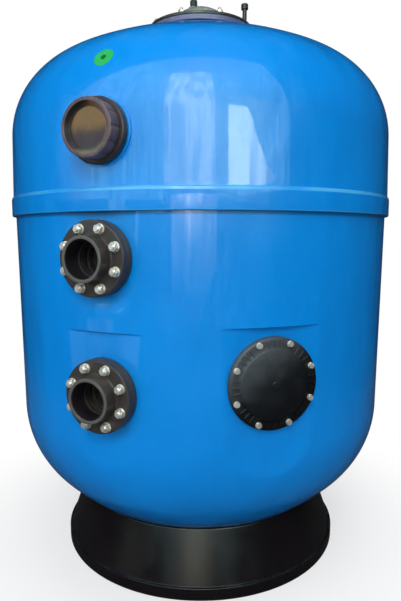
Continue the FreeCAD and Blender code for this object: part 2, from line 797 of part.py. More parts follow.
def make_bleed_screw():
    """Air bleed screw on the lid: a sealing ring, and a fluted knob with its threaded stem."""
    seal = new_body("bleed_seal")
    section = new_sketch(seal, "XY_Plane", BLEED_SEAT)
    draw_circle(section, "-bleed_offset", "0", "bleed_seal_radius")
    draw_circle(section, "-bleed_offset", "0", f"bleed_stem_radius + {RUNNING_GAP}")
    padded(seal, section, "bleed_seal_thickness")
    keep("bleed_seal", seal)
    knob = new_body("bleed_knob")
    bind(knob, "Placement.Base.x", "-bleed_offset")
    low = f"({BLEED_SEAT} + bleed_seal_thickness)"
    turned(
        knob,
        [
            ("0", f"{low} - bleed_stem_length"),
            ("bleed_stem_radius", f"{low} - bleed_stem_length"),
            ("bleed_stem_radius", low),
            ("bleed_knob_radius", low),
            ("bleed_knob_radius", f"{low} + bleed_knob_height - bleed_knob_chamfer"),
            ("bleed_knob_radius - bleed_knob_chamfer", f"{low} + bleed_knob_height"),
            ("0", f"{low} + bleed_knob_height"),
        ],
    )
    flute = new_sketch(knob, "XY_Plane", f"{low} + bleed_flute_start")
    draw_circle(flute, "bleed_knob_radius + bleed_flute_offset", "0", "bleed_flute_radius")
    cut = knob.newObject("PartDesign::Pocket", "flute_cut")
    cut.Profile = flute
    cut.Reversed = True
    bind(cut, "Length", "bleed_knob_height")
    knob.Tip = cut
    repeated(knob, [cut], "bleed_flute_count")
    keep("bleed_knob", knob)


def make_port(port, frame):
    """One flanged port: seals, the flange inside, the two outside, and the bolts through the wall."""
    flat = FLATS[port]
    hole = "port_bolt_radius + port_hole_clearance"
    flange_back = f"({flat} + port_seal)"
    face = f"({flange_back} + port_wall_flange)"
    socket_back = f"({face} + port_seal)"
    socket_face = f"({socket_back} + port_flange)"
    mouth = f"({socket_face} + port_collar)"
    inner_face = f"({flat} - wall - port_seal)"
    inner_back = f"({inner_face} - port_wall_flange)"

    def holed_ring(label, inner, outer, low, high):
        drilled(ring(label, frame, inner, outer, low, high), "port_bolt_circle", "port_bolt_count", hole)

    seal_outer = "port_flange_radius - port_seal_inset"
    holed_ring(f"{port}_wall_gasket", "port_hole", seal_outer, flat, flange_back)
    holed_ring(f"{port}_wall_flange", "port_bore", "port_flange_radius", flange_back, face)
    holed_ring(f"{port}_face_gasket", "port_bore", seal_outer, face, socket_back)
    holed_ring(f"{port}_inner_gasket", "port_hole", seal_outer, inner_face, f"{flat} - wall")

    socket = new_body(f"{port}_socket_flange", frame)
    turned(
        socket,
        [
            ("port_bore", socket_back),
            ("port_flange_radius", socket_back),
            ("port_flange_radius", f"{socket_face} - port_flange_chamfer"),
            ("port_flange_radius - port_flange_chamfer", socket_face),
            ("port_collar_radius + port_collar_root", socket_face),
            ("port_collar_radius", f"{socket_face} + port_collar_root"),
            ("port_collar_radius", f"{mouth} - port_flange_chamfer"),
            ("port_collar_radius - port_flange_chamfer", mouth),
            ("pipe_radius", mouth),
            ("pipe_radius", f"{mouth} - port_socket"),
            ("port_bore", f"{mouth} - port_socket"),
        ],
    )
    drilled(socket, "port_bolt_circle", "port_bolt_count", hole)
    keep(f"{port}_socket_flange", socket)

    inner = new_body(f"{port}_inner_flange", frame)
    turned(
        inner,
        [
            ("port_bore", inner_face),
            ("port_bore", f"{inner_back} - port_collar + port_socket - port_flange"),
            ("pipe_radius", f"{inner_back} - port_collar + port_socket - port_flange"),
            ("pipe_radius", f"{inner_back} - port_collar"),
            ("port_collar_radius", f"{inner_back} - port_collar"),
            ("port_collar_radius", inner_back),
            ("port_flange_radius", inner_back),
            ("port_flange_radius", inner_face),
        ],
    )
    drilled(inner, "port_bolt_circle", "port_bolt_count", hole)
    keep(f"{port}_inner_flange", inner)

    nut_low = f"({socket_face} + port_washer_thickness)"
    thread_end = f"({nut_low} + port_nut_height + port_thread_over)"
    bolts(f"{port}_bolts", frame, "port", inner_back, thread_end)
    washers(f"{port}_washers", frame, "port", socket_face, "port_bolt_radius")
    nuts(f"{port}_nuts", frame, "port", nut_low, "port_bolt_radius")
    pipe_end = f"({inner_back} - port_collar + port_socket - port_flange)"
    ring(f"{port}_pipe", frame, "pipe_radius - pipe_wall", "pipe_radius", "bend_radius", pipe_end)


def bend_axis(sketch, up):
    """Draw the line that a bend turns about, level and at the given height."""
    ends = ("-pipe_radius", "pipe_radius")
    start, end = (FreeCAD.Vector(number(across), number(up), 0) for across in ends)
    line = sketch.addGeometry(Part.LineSegment(start, end), True)
    pin(sketch, line, 1, ends[0], up)
    pin(sketch, line, 2, ends[1], up)


def make_elbow(label, frame, sign):
    """Pipe elbow on the vessel's axis, with a socket facing its port and one facing up or down."""
    body = new_body(label, frame)
    up = f"{sign} * bend_radius"
    outer = new_sketch(body, "XY_Plane", "bend_radius")
    draw_circle(outer, "0", "0", "pipe_radius + bend_wall / 2")
    bend_axis(outer, up)
    turn = body.newObject("PartDesign::Revolution", f"{label}_turn")
    turn.Profile = outer
    turn.ReferenceAxis = (outer, ["Axis0"])
    turn.Angle = 90
    turn.Reversed = sign < 0
    body.Tip = turn
    level = new_sketch(body, "XY_Plane", "bend_radius")
    draw_circle(level, "0", "0", "pipe_radius + bend_wall")
    padded(body, level, "bend_socket")
    upright = new_sketch(body, "XZ_Plane", f"-{up}")
    draw_circle(upright, "0", "0", "pipe_radius + bend_wall")
    raised = padded(body, upright, "bend_socket")
    raised.Reversed = sign > 0
    inner = new_sketch(body, "XY_Plane", "bend_radius")
    draw_circle(inner, "0", "0", "pipe_radius - pipe_wall")
    bend_axis(inner, up)
    bore = body.newObject("PartDesign::Groove", f"{label}_bore")
    bore.Profile = inner
    bore.ReferenceAxis = (inner, ["Axis0"])
    bore.Angle = 90
    bore.Reversed = sign < 0
    body.Tip = bore
    level_bore = new_sketch(body, "XY_Plane", "bend_radius")
    draw_circle(level_bore, "0", "0", "pipe_radius")
    cut = body.newObject("PartDesign::Pocket", f"{label}_level_bore")
    cut.Profile = level_bore
    cut.Reversed = True
    bind(cut, "Length", "bend_socket")
    body.Tip = cut
    upright_bore = new_sketch(body, "XZ_Plane", f"-{up}")
    draw_circle(upright_bore, "0", "0", "pipe_radius")
    cut = body.newObject("PartDesign::Pocket", f"{label}_upright_bore")
    cut.Profile = upright_bore
    cut.Reversed = sign < 0
    bind(cut, "Length", "bend_socket")
    body.Tip = cut
    keep(label, body)


def make_inlet_run():
    """Inlet elbow, the riser up the vessel's axis, and the diffuser that spreads the water at its top."""
    make_elbow("inlet_elbow", INLET, 1)
    bore = "pipe_radius - pipe_wall"
    ring("inlet_riser", UPRIGHT, bore, "pipe_radius", f"{INLET_HEIGHT} + bend_radius", RISER_TOP)
    body = new_body("top_diffuser")
    collar = "(pipe_radius + diffuser_wall)"
    cone_top = f"({RISER_TOP} + diffuser_cone_rise)"
    turned(
        body,
        [
            ("pipe_radius", f"{RISER_TOP} - diffuser_collar"),
            (collar, f"{RISER_TOP} - diffuser_collar"),
            (collar, RISER_TOP),
            ("diffuser_cone_radius", cone_top),
            ("diffuser_cone_radius", f"{cone_top} + diffuser_wall"),
            ("pipe_radius", f"{RISER_TOP} + diffuser_wall"),
        ],
    )
    rib = new_sketch(body, "XY_Plane", f"{RISER_TOP} + diffuser_wall / 2")
    draw_outline(
        rib,
        [
            ("pipe_radius + diffuser_rib_root", "-diffuser_wall / 2"),
            ("diffuser_cone_radius - diffuser_rib_inset", "-diffuser_wall / 2"),
            ("diffuser_cone_radius - diffuser_rib_inset", "diffuser_wall / 2"),
            ("pipe_radius + diffuser_rib_root", "diffuser_wall / 2"),
        ],
    )
    rib_pad = padded(body, rib, "diffuser_gap + diffuser_cone_rise")
    repeated(body, [rib_pad], "diffuser_rib_count")
    plate_low = f"({cone_top} + diffuser_gap)"
    turned(
        body,
        [
            ("0", plate_low),
            ("diffuser_plate_radius", plate_low),
            ("diffuser_plate_radius", f"{plate_low} + diffuser_wall"),
            ("0", f"{plate_low} + 2 * diffuser_wall"),
        ],
    )
    keep("top_diffuser", body)


def make_outlet_run():
    """Outlet elbow and the drop pipe from it down to the collector's hub."""
    make_elbow("outlet_elbow", OUTLET, -1)
    bore = "pipe_radius - pipe_wall"
    hub_top = f"({LATERAL_HEIGHT} + lateral_radius + hub_cover)"
    ring("outlet_drop_pipe", UPRIGHT, bore, "pipe_radius", hub_top, f"{OUTLET_HEIGHT} - bend_radius")


def make_collector_hub():
    """Hub that gathers the laterals: a drum with a socket for each and a collar for the drop pipe."""
    body = new_body("collector_hub")
    low = f"({LATERAL_HEIGHT} - lateral_radius - hub_cover)"
    top = f"({LATERAL_HEIGHT} + lateral_radius + hub_cover)"
    turned(
        body,
        [
            ("0", low),
            ("hub_radius", low),
            ("hub_radius", top),
            ("port_collar_radius", top),
            ("port_collar_radius", f"{top} + hub_collar"),
            ("pipe_radius", f"{top} + hub_collar"),
            ("pipe_radius", top),
            ("hub_cavity", top),
            ("hub_cavity", f"{low} + hub_cover"),
            ("0", f"{low} + hub_cover"),
        ],
    )
    tools = []
    for index in range(int(number("lateral_count"))):
        frame = (f"{index} * 360 / lateral_count", LATERAL_HEIGHT)
        tool = new_body(f"socket_drill_{index + 1:02d}", frame)
        bore = new_sketch(tool, "XY_Plane", "hub_cavity / 2")
        draw_circle(bore, "0", "0", "lateral_radius - lateral_wall")
        padded(tool, bore, "hub_radius")
        socket = new_sketch(tool, "XY_Plane", "hub_radius - hub_socket")
        draw_circle(socket, "0", "0", "lateral_radius")
        padded(tool, socket, "hub_radius")
        tools.append(tool)
    keep("collector_hub", cut_from("collector_hub", body, joined("hub_sockets", tools)))


def make_hub_foot():
    """Post that stands the hub on the middle of the dished bottom."""
    body = new_body("hub_foot")
    sphere = f"({LOWER_CROWN} - wall)"
    post_top = f"{LATERAL_HEIGHT} - lateral_radius - hub_cover"
    rim = f"({LOWER_CROWN_CENTRE} - sqrt(pow({sphere}; 2) - pow(foot_radius; 2)))"
    turned(
        body,
        [
            ("0", f"{LOWER_CROWN_CENTRE} - {sphere}", sphere),
            ("foot_radius", rim),
            ("foot_radius", f"{rim} + foot_plate"),
            ("foot_post", f"{rim} + foot_plate"),
            ("foot_post", post_top),
            ("0", post_top),
        ],
    )
    keep("hub_foot", body)


def make_laterals():
    """Collector arms in the bottom of the bed: tubes with a closed end and slots on the underside."""
    for index in range(int(number("lateral_count"))):
        label = f"lateral_{index + 1:02d}"
        body = new_body(label, (f"{index} * 360 / lateral_count", LATERAL_HEIGHT))
        start = "hub_radius - hub_socket"
        bore = "lateral_radius - lateral_wall"
        turned(
            body,
            [
                (bore, start),
                ("lateral_radius", start),
                ("lateral_radius", LATERAL_REACH),
                ("0", LATERAL_REACH),
                ("0", f"{LATERAL_REACH} - lateral_cap"),
                (bore, f"{LATERAL_REACH} - lateral_cap"),
            ],
        )
        slots = new_sketch(body, "XZ_Plane")
        for side in (-1, 1):
            near = f"({side} * slot_bridge / 2)"
            far = f"({side} * (slot_bridge / 2 + slot_length))"
            draw_outline(
                slots,
                [
                    (near, "slot_start"),
                    (far, "slot_start"),
                    (far, "slot_start + slot_width"),
                    (near, "slot_start + slot_width"),
                ],
            )
        cut = body.newObject("PartDesign::Pocket", f"{label}_slot_cut")
        cut.Profile = slots
        cut.Reversed = True
        bind(cut, "Length", "2 * lateral_radius")
        body.Tip = cut
        axis = next(item for item in body.Origin.OriginFeatures if item.Role == "Z_Axis")
        row = body.newObject("PartDesign::LinearPattern", f"{label}_slots")
        row.Originals = [cut]
        row.Direction = (axis, [""])
        bind(row, "Length", f"{LATERAL_REACH} - slot_end - slot_width - slot_start")
        bind(row, "Occurrences", "slot_count")
        body.Tip = row
        keep(label, body)


def make_sight_glass():
    """Sight glass: a body through the wall with its back nut, and a window under a screwed ring."""
    body = new_body("sight_glass_body", GLASS)
    turned(
        body,
        [
            ("glass_bore", f"{GLASS_NUT_FACE} - glass_back_nut - glass_thread_over"),
            ("glass_spigot_radius", f"{GLASS_NUT_FACE} - glass_back_nut - glass_thread_over"),
            ("glass_spigot_radius", GLASS_BODY_BACK),
            ("glass_body_radius", GLASS_BODY_BACK),
            ("glass_body_radius", f"{GLASS_BODY_FRONT} - glass_body_chamfer"),
            ("glass_body_radius - glass_body_chamfer", GLASS_BODY_FRONT),
            ("glass_seat_radius", GLASS_BODY_FRONT),
            ("glass_seat_radius", GLASS_SEAT),
            ("glass_bore", GLASS_SEAT),
        ],
    )
    keep("sight_glass_body", body)
    seal_inner = "glass_spigot_radius"
    seal_outer = "glass_body_radius - glass_seal_inset"
    ring("sight_glass_gasket", GLASS, seal_inner, seal_outer, GLASS_BOSS_FACE, GLASS_BODY_BACK)
    nut_outer = "glass_back_nut_radius"
    ring("sight_glass_inner_gasket", GLASS, seal_inner, nut_outer, GLASS_NUT_FACE, GLASS_INNER_FACE)
    nut = ring(
        "sight_glass_back_nut",
        GLASS,
        "glass_spigot_radius",
        nut_outer,
        f"{GLASS_NUT_FACE} - glass_back_nut",
        GLASS_NUT_FACE,
    )
    notch = new_sketch(nut, "XY_Plane")
    draw_circle(notch, f"{nut_outer} + glass_notch_offset", "0", "glass_notch_radius")
    repeated(nut, [pocketed(nut, notch)], "glass_notch_count")
    seal_top = f"({GLASS_SEAT} + glass_seal)"
    window_top = f"({seal_top} + glass_window_thickness)"
    ring("window_seal", GLASS, "glass_bore + glass_seal_inset", "glass_window_radius", GLASS_SEAT, seal_top)
    window = new_body("sight_window", GLASS)
    disc = new_sketch(window, "XY_Plane", seal_top)
    draw_circle(disc, "0", "0", "glass_window_radius")
    padded(window, disc, "glass_window_thickness")
    keep("sight_window", window)
    retainer = new_body("sight_glass_ring", GLASS)
    thread = "glass_seat_radius + glass_fit"
    turned(
        retainer,
        [
            (thread, GLASS_RING_BACK),
            ("glass_ring_radius", GLASS_RING_BACK),
            ("glass_ring_radius", f"{GLASS_RING_FRONT} - glass_ring_chamfer"),
            ("glass_ring_radius - glass_ring_chamfer", GLASS_RING_FRONT),
            ("glass_ring_opening", GLASS_RING_FRONT),
            ("glass_ring_throat", f"{window_top} + glass_fit"),
            (thread, f"{window_top} + glass_fit"),
        ],
    )
    grip = new_sketch(retainer, "XY_Plane")
    draw_circle(grip, "glass_ring_radius + glass_grip_offset", "0", "glass_grip_radius")
    repeated(retainer, [pocketed(retainer, grip)], "glass_grip_count")
    keep("sight_glass_ring", retainer)


def make_manhole():
    """Side manhole: a frame bonded inside, a flat seal, and a bolted cover with a raised disc."""
    hole = "manhole_bolt_radius + manhole_hole_clearance"
    inner = "manhole_opening"
    rim = "manhole_cover_radius"
    frame = ring("manhole_frame", MANHOLE, inner, rim, FRAME_BACK, FRAME_FRONT)
    drilled(frame, "manhole_bolt_circle", "manhole_bolt_count", hole)
    seal_outer = f"{rim} - manhole_seal_inset"
    seal = ring("manhole_gasket", MANHOLE, inner, seal_outer, FLATS["manhole"], COVER_BACK)
    drilled(seal, "manhole_bolt_circle", "manhole_bolt_count", hole)
    cover = new_body("manhole_cover", MANHOLE)
    spigot = "(manhole_opening - manhole_spigot_gap)"
    dome = "((pow(manhole_disc_radius - manhole_chamfer; 2) + pow(manhole_dome; 2)) / (2 * manhole_dome))"
    dome_centre = f"({COVER_DISC} + manhole_dome - {dome})"
    boss_foot = f"({dome_centre} + sqrt(pow({dome}; 2) - pow(manhole_boss_radius; 2)))"
    turned(
        cover,
        [
            ("0", COVER_BACK),
            (f"{spigot} - manhole_spigot_wall", COVER_BACK),
            (f"{spigot} - manhole_spigot_wall", f"{COVER_BACK} - manhole_spigot_depth"),
            (spigot, f"{COVER_BACK} - manhole_spigot_depth"),
            (spigot, COVER_BACK),
            (rim, COVER_BACK),
            (rim, f"{COVER_RIM} - manhole_chamfer"),
            (f"{rim} - manhole_chamfer", COVER_RIM),
            ("manhole_disc_radius", COVER_RIM),
            ("manhole_disc_radius - manhole_chamfer", COVER_DISC, dome),
            ("manhole_boss_radius", boss_foot),
            ("manhole_boss_radius", f"{COVER_DISC} + manhole_dome + manhole_boss_rise"),
            ("0", f"{COVER_DISC} + manhole_dome + manhole_boss_rise"),
        ],
    )
    drilled(cover, "manhole_bolt_circle", "manhole_bolt_count", hole)
    for side in (-1, 0, 1):
        spread = f"({side} * manhole_rib_spread)"
        rib = new_sketch(cover, "XY_Plane", f"{COVER_RIM} - manhole_rib_sink")
        draw_outline(
            rib,
            [
                ("manhole_disc_radius - manhole_rib_root", f"{spread} - manhole_rib_width / 2"),
                (f"{rim} - manhole_rib_end", f"{spread} - manhole_rib_width / 2"),
                (f"{rim} - manhole_rib_end", f"{spread} + manhole_rib_width / 2"),
                ("manhole_disc_radius - manhole_rib_root", f"{spread} + manhole_rib_width / 2"),
            ],
        )
        raised = padded(cover, rib, "manhole_disc_rise / 2 + manhole_rib_sink")
        repeated(cover, [raised], "manhole_bolt_count")
    keep("manhole_cover", cover)
    washers("manhole_washers", MANHOLE, "manhole", COVER_RIM, "manhole_bolt_radius")
    under = f"({COVER_RIM} + manhole_washer_thickness)"
    tip = f"({FRAME_BACK} + manhole_thread_short)"
    bolts("manhole_cover_bolts", MANHOLE, "manhole", under, tip, points_up=False)


def check_and_write():
    """Stop at any failed object, then write each sub-part to a file of its own."""
    DOCUMENT.recompute()
    failed = [item.Label for item in DOCUMENT.Objects if {"Invalid", "Error"} & set(item.State)]
    if failed:
        raise RuntimeError(f"these objects failed: {failed}")
    for label, item in PARTS.items():
        if item.Shape.isNull() or not item.Shape.isValid() or not item.Shape.Solids:
            raise RuntimeError(f"{label} has no valid solid")
    os.makedirs("parts", exist_ok=True)
    for label, item in PARTS.items():
        item.Shape.exportStep(f"parts/{label}.step")
    print(f"{len(PARTS)} sub-parts written")


make_plinth()
make_lower_shell()
make_upper_shell()
make_shell_bond()
make_lid()
make_lid_fasteners()
make_guide_stud()
make_bleed_screw()
make_sight_glass()
make_port("inlet", INLET)
make_port("outlet", OUTLET)
make_manhole()
make_inlet_run()
make_outlet_run()
make_collector_hub()
make_hub_foot()
make_laterals()
check_and_write()
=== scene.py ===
"""Looks of a commercial sand filter: a glossy blue vessel on a black plinth, with its bolted fittings.

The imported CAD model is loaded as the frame. Pieces that show get smooth meshes of the same sizes,
inner pieces keep their CAD meshes, and every surface gets a material made of nodes. Sizes are in
millimetres and angles in degrees, as in the CAD source. A fitting is made in a seat of its own: its
Z axis points out of the wall, Y points up, and its origin is on the vessel's axis.
"""
import bmesh
import bpy
import json
import logging
import math
from collections.abc import Callable
from dataclasses import dataclass
from enum import Enum
from functools import cache
from mathutils import Matrix, Vector


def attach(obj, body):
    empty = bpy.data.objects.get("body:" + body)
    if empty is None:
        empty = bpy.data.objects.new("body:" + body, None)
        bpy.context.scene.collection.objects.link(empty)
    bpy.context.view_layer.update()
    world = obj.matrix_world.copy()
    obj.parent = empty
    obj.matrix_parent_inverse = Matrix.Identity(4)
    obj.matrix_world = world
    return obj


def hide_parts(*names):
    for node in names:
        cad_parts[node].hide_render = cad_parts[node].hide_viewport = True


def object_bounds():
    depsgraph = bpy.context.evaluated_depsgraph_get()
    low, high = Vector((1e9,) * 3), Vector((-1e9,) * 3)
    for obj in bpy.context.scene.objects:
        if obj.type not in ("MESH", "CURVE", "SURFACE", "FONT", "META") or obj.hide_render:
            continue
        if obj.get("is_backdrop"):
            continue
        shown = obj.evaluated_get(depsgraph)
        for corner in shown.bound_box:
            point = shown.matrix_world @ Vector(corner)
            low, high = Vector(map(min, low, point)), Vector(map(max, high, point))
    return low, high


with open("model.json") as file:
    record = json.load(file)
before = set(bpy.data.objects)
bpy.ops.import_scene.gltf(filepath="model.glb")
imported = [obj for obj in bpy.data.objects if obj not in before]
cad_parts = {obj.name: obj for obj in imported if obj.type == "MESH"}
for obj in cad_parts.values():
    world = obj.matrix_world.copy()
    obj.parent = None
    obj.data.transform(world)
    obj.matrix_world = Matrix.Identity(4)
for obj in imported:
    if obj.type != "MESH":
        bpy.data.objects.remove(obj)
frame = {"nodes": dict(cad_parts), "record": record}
CAD_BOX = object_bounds()

LOG = logging.getLogger("sand_filter")
MM = 0.001
Outline = list[tuple[float, float]]
Corners = list[tuple[float, ...]]
Colour = tuple[float, float, float]
Point = tuple[float, float, float]
Ripple = Callable[[float, float, float], float]
Choice = Callable[[Vector, Vector], int]
Layers = tuple[bpy.types.NodeSocket, bpy.types.NodeSocket, bpy.types.NodeSocket]


class Body(Enum):
    """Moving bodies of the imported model."""

    VESSEL = "vessel"
    LID = "lid"
    BLEED_SCREW = "bleed_screw"
    WINDOW = "window"
    WINDOW_RING = "window_ring"
    SIDE_COVER = "side_cover"


@dataclass(frozen=True)
class Seat:
    """Place of a fitting on the wall, as an azimuth from the front and a height."""

    azimuth: float = 0.0
    height: float = 0.0
    upright: bool = False

    def matrix(self) -> Matrix:
        """Work out where the seat's own axes are.

        Returns:
            The transform from them, in metres.
        """
        if self.upright:
            return Matrix.Translation((0, 0, self.height * MM))
        turn = Matrix.Rotation(math.radians(self.azimuth), 4, "Z") @ Matrix.Rotation(math.pi / 2, 4, "X")
        return Matrix.Translation((0, 0, self.height * MM)) @ turn


AXIS = Seat(upright=True)
GLASS_SEAT = Seat(-23.2, 1473.95)
INLET_SEAT = Seat(-24.9, 1124.95)
OUTLET_SEAT = Seat(-24.5, 724.95)
MANHOLE_SEAT = Seat(17.8, 763.95)


# Shader groups

FLOAT, COLOUR, VECTOR = "NodeSocketFloat", "NodeSocketColor", "NodeSocketVector"


class Wiring:
    """Short way to add and link nodes in one tree."""

    def __init__(self, tree: bpy.types.NodeTree) -> None:
        """Keep the tree that the nodes go in."""
        self.tree = tree

    def connect(self, source: object, target: bpy.types.NodeSocket) -> None:
        """Link an input socket to an output socket, or set it to a plain value.

        Args:
            source: an output socket or a plain value.
            target: the input socket.
        """
        if isinstance(source, bpy.types.NodeSocket):
            self.tree.links.new(source, target)
        else:
            target.default_value = source

    def add(self, kind: str, links: dict | None = None, **values: object) -> bpy.types.Node:
        """Add a node, set its properties, and link or set its inputs.

        Args:
            kind: the node's type.
            links: an output socket or a plain value for each input, by name or index.
            **values: properties of the node.

        Returns:
            The new node.
        """
        node = self.tree.nodes.new(kind)
        for field, value in values.items():
            setattr(node, field, value)
        for socket, source in (links or {}).items():
            self.connect(source, node.inputs[socket])
        return node

    def math(self, operation: str, *sources: object, clamp: bool = False) -> bpy.types.NodeSocket:
        """Add a Math node and return its output."""
        links = dict(enumerate(sources))
        return self.add("ShaderNodeMath", links, operation=operation, use_clamp=clamp).outputs[0]

    def mix(self, factor: object, first: object, second: object) -> bpy.types.NodeSocket:
        """Mix two colours.

        Args:
            factor: share of the second colour.
            first: socket or plain colour where the share is 0.
            second: socket or plain colour where the share is 1.

        Returns:
            The mixed colour.
        """
        node = self.add("ShaderNodeMix", {0: factor}, data_type="RGBA")
        for index, source in ((6, first), (7, second)):
            plain = not isinstance(source, bpy.types.NodeSocket)
            self.connect((*source, 1.0) if plain else source, node.inputs[index])
        return node.outputs[2]

    def between(
        self, value: object, low: float, high: float, out_low: float = 0.0, out_high: float = 1.0
    ) -> bpy.types.NodeSocket:
        """Map a value smoothly from one range to another."""
        links = {"Value": value, "From Min": low, "From Max": high, "To Min": out_low, "To Max": out_high}
        return self.add("ShaderNodeMapRange", links, interpolation_type="SMOOTHSTEP").outputs["Result"]

    def noise(
        self, place: object, scale: object, detail: float = 3.0, roughness: float = 0.5
    ) -> bpy.types.NodeSocket:
        """Add a noise texture and return its value."""
        links = {"Vector": place, "Scale": scale, "Detail": detail, "Roughness": roughness}
        return self.add("ShaderNodeTexNoise", links).outputs[0]

    def axis(self, vector: bpy.types.NodeSocket, name: str) -> bpy.types.NodeSocket:
        """Return one axis of a vector."""
        return self.add("ShaderNodeSeparateXYZ", {0: vector}).outputs[name]

    def length(self, vector: bpy.types.NodeSocket) -> bpy.types.NodeSocket:
        """Return the length of a vector."""
        return self.add("ShaderNodeVectorMath", {0: vector}, operation="LENGTH").outputs["Value"]

    def seen(self) -> bpy.types.NodeSocket:
        """Tell which rays see a surface.

        Returns:
            1 for rays of the camera, of clear pieces and of gloss, 0 for the rest.
        """
        path = self.add("ShaderNodeLightPath").outputs
        seen = self.math("MAXIMUM", path["Is Camera Ray"], path["Is Transmission Ray"])
        return self.math("MAXIMUM", seen, path["Is Glossy Ray"])

    def show(self, shader: bpy.types.NodeSocket) -> None:
        """Link a shader to the material's output."""
        self.tree.links.new(shader, self.tree.nodes["Material Output"].inputs["Surface"])


def new_material(name: str) -> tuple[bpy.types.Material, Wiring, bpy.types.NodeSocket]:
    """Start a material.

    Args:
        name: name of the material.

    Returns:
        The material, its wiring and the object coordinates.
    """
    material = bpy.data.materials.new(name)
    material.use_nodes = True
    wire = Wiring(material.node_tree)
    return material, wire, wire.add("ShaderNodeTexCoord").outputs["Object"]


def new_group(name: str, inputs: dict[str, object], outputs: dict[str, str]) -> tuple[Wiring, object]:
    """Start a shader group with named sockets, of which the first takes the place on the surface.

    Args:
        name: name of the group.
        inputs: default of each further input, which also gives the socket's type.
        outputs: socket type of each output.

    Returns:
        The group's wiring and its inputs by name.
    """
    group = bpy.data.node_groups.new(name, "ShaderNodeTree")
    for label, default in {"Place": (0, 0, 0), **inputs}.items():
        kind = FLOAT if isinstance(default, float) else {3: VECTOR, 4: COLOUR}[len(default)]
        group.interface.new_socket(label, in_out="INPUT", socket_type=kind).default_value = default
    for label, kind in outputs.items():
        group.interface.new_socket(label, in_out="OUTPUT", socket_type=kind)
    wire = Wiring(group)
    return wire, wire.add("NodeGroupInput").outputs


@cache
def grain_group() -> bpy.types.NodeTree:
    """Fine moulded grain: a height for bump and a mask that varies the gloss.

    Returns:
        The shader group.
    """
    inputs = {"Scale": 400.0, "Waviness": 0.3}
    wire, given = new_group("moulded_grain", inputs, {"Height": FLOAT, "Mask": FLOAT})
    fine = wire.noise(given["Place"], given["Scale"], 4.0, 0.6)
    wide = wire.noise(given["Place"], wire.math("MULTIPLY", given["Scale"], 0.03), 2.0)
    height = wire.math("MULTIPLY_ADD", wide, given["Waviness"], fine)
    wire.add("NodeGroupOutput", {"Height": height, "Mask": wire.between(wide, 0.3, 0.7)})
    return wire.tree


@cache
def drift_group() -> bpy.types.NodeTree:
    """Slow drift between two shades of one colour, with a little mottling.

    Returns:
        The shader group.
    """
    colours = {"Colour": (1, 1, 1, 1), "Second Colour": (0, 0, 0, 1)}
    wire, given = new_group("colour_drift", {**colours, "Scale": 4.0, "Amount": 0.5}, {"Colour": COLOUR})
    slow = wire.noise(given["Place"], given["Scale"], 2.0)
    mottle = wire.noise(given["Place"], wire.math("MULTIPLY", given["Scale"], 11.0), 4.0)
    share = wire.math("ADD", wire.math("MULTIPLY", slow, 0.75), wire.math("MULTIPLY", mottle, 0.25))
    share = wire.math("MULTIPLY", wire.between(share, 0.3, 0.7), given["Amount"], clamp=True)
    wire.add("NodeGroupOutput", {"Colour": wire.mix(share, given["Colour"], given["Second Colour"])})
    return wire.tree


@cache
def dust_group() -> bpy.types.NodeTree:
    """Thin dust that settles on surfaces that face up: it lightens the colour and dulls the gloss.

    Returns:
        The shader group.
    """
    colours = {"Colour": (1, 1, 1, 1), "Dust Colour": (0.4, 0.38, 0.34, 1)}
    inputs = {**colours, "Roughness": 0.3, "Amount": 0.3}
    wire, given = new_group("settled_dust", inputs, {"Colour": COLOUR, "Roughness": FLOAT})
    up = wire.axis(wire.add("ShaderNodeNewGeometry").outputs["Normal"], "Z")
    patches = wire.noise(given["Place"], 9.0, 6.0, 0.65)
    mask = wire.math("MULTIPLY", wire.between(up, 0.35, 0.98), wire.between(patches, 0.38, 0.66))
    mask = wire.math("MULTIPLY", mask, given["Amount"], clamp=True)
    colour = wire.mix(mask, given["Colour"], given["Dust Colour"])
    rough = wire.math("MULTIPLY_ADD", mask, 0.5, given["Roughness"])
    wire.add("NodeGroupOutput", {"Colour": colour, "Roughness": rough})
    return wire.tree


@cache
def wear_group() -> bpy.types.NodeTree:
    """Rubbed edges, where the surface turns sharply outwards.

    Returns:
        The shader group.
    """
    inputs = {"Colour": (1, 1, 1, 1), "Rubbed Colour": (1, 1, 1, 1), "Amount": 0.4}
    wire, given = new_group("rubbed_edges", inputs, {"Colour": COLOUR, "Mask": FLOAT})
    sharp = wire.between(wire.add("ShaderNodeNewGeometry").outputs["Pointiness"], 0.51, 0.6)
    broken = wire.between(wire.noise(given["Place"], 90.0, 5.0, 0.7), 0.4, 0.65)
    mask = wire.math("MULTIPLY", wire.math("MULTIPLY", sharp, broken), given["Amount"], clamp=True)
    mixed = wire.mix(mask, given["Colour"], given["Rubbed Colour"])
    wire.add("NodeGroupOutput", {"Colour": mixed, "Mask": mask})
    return wire.tree


# Finishes

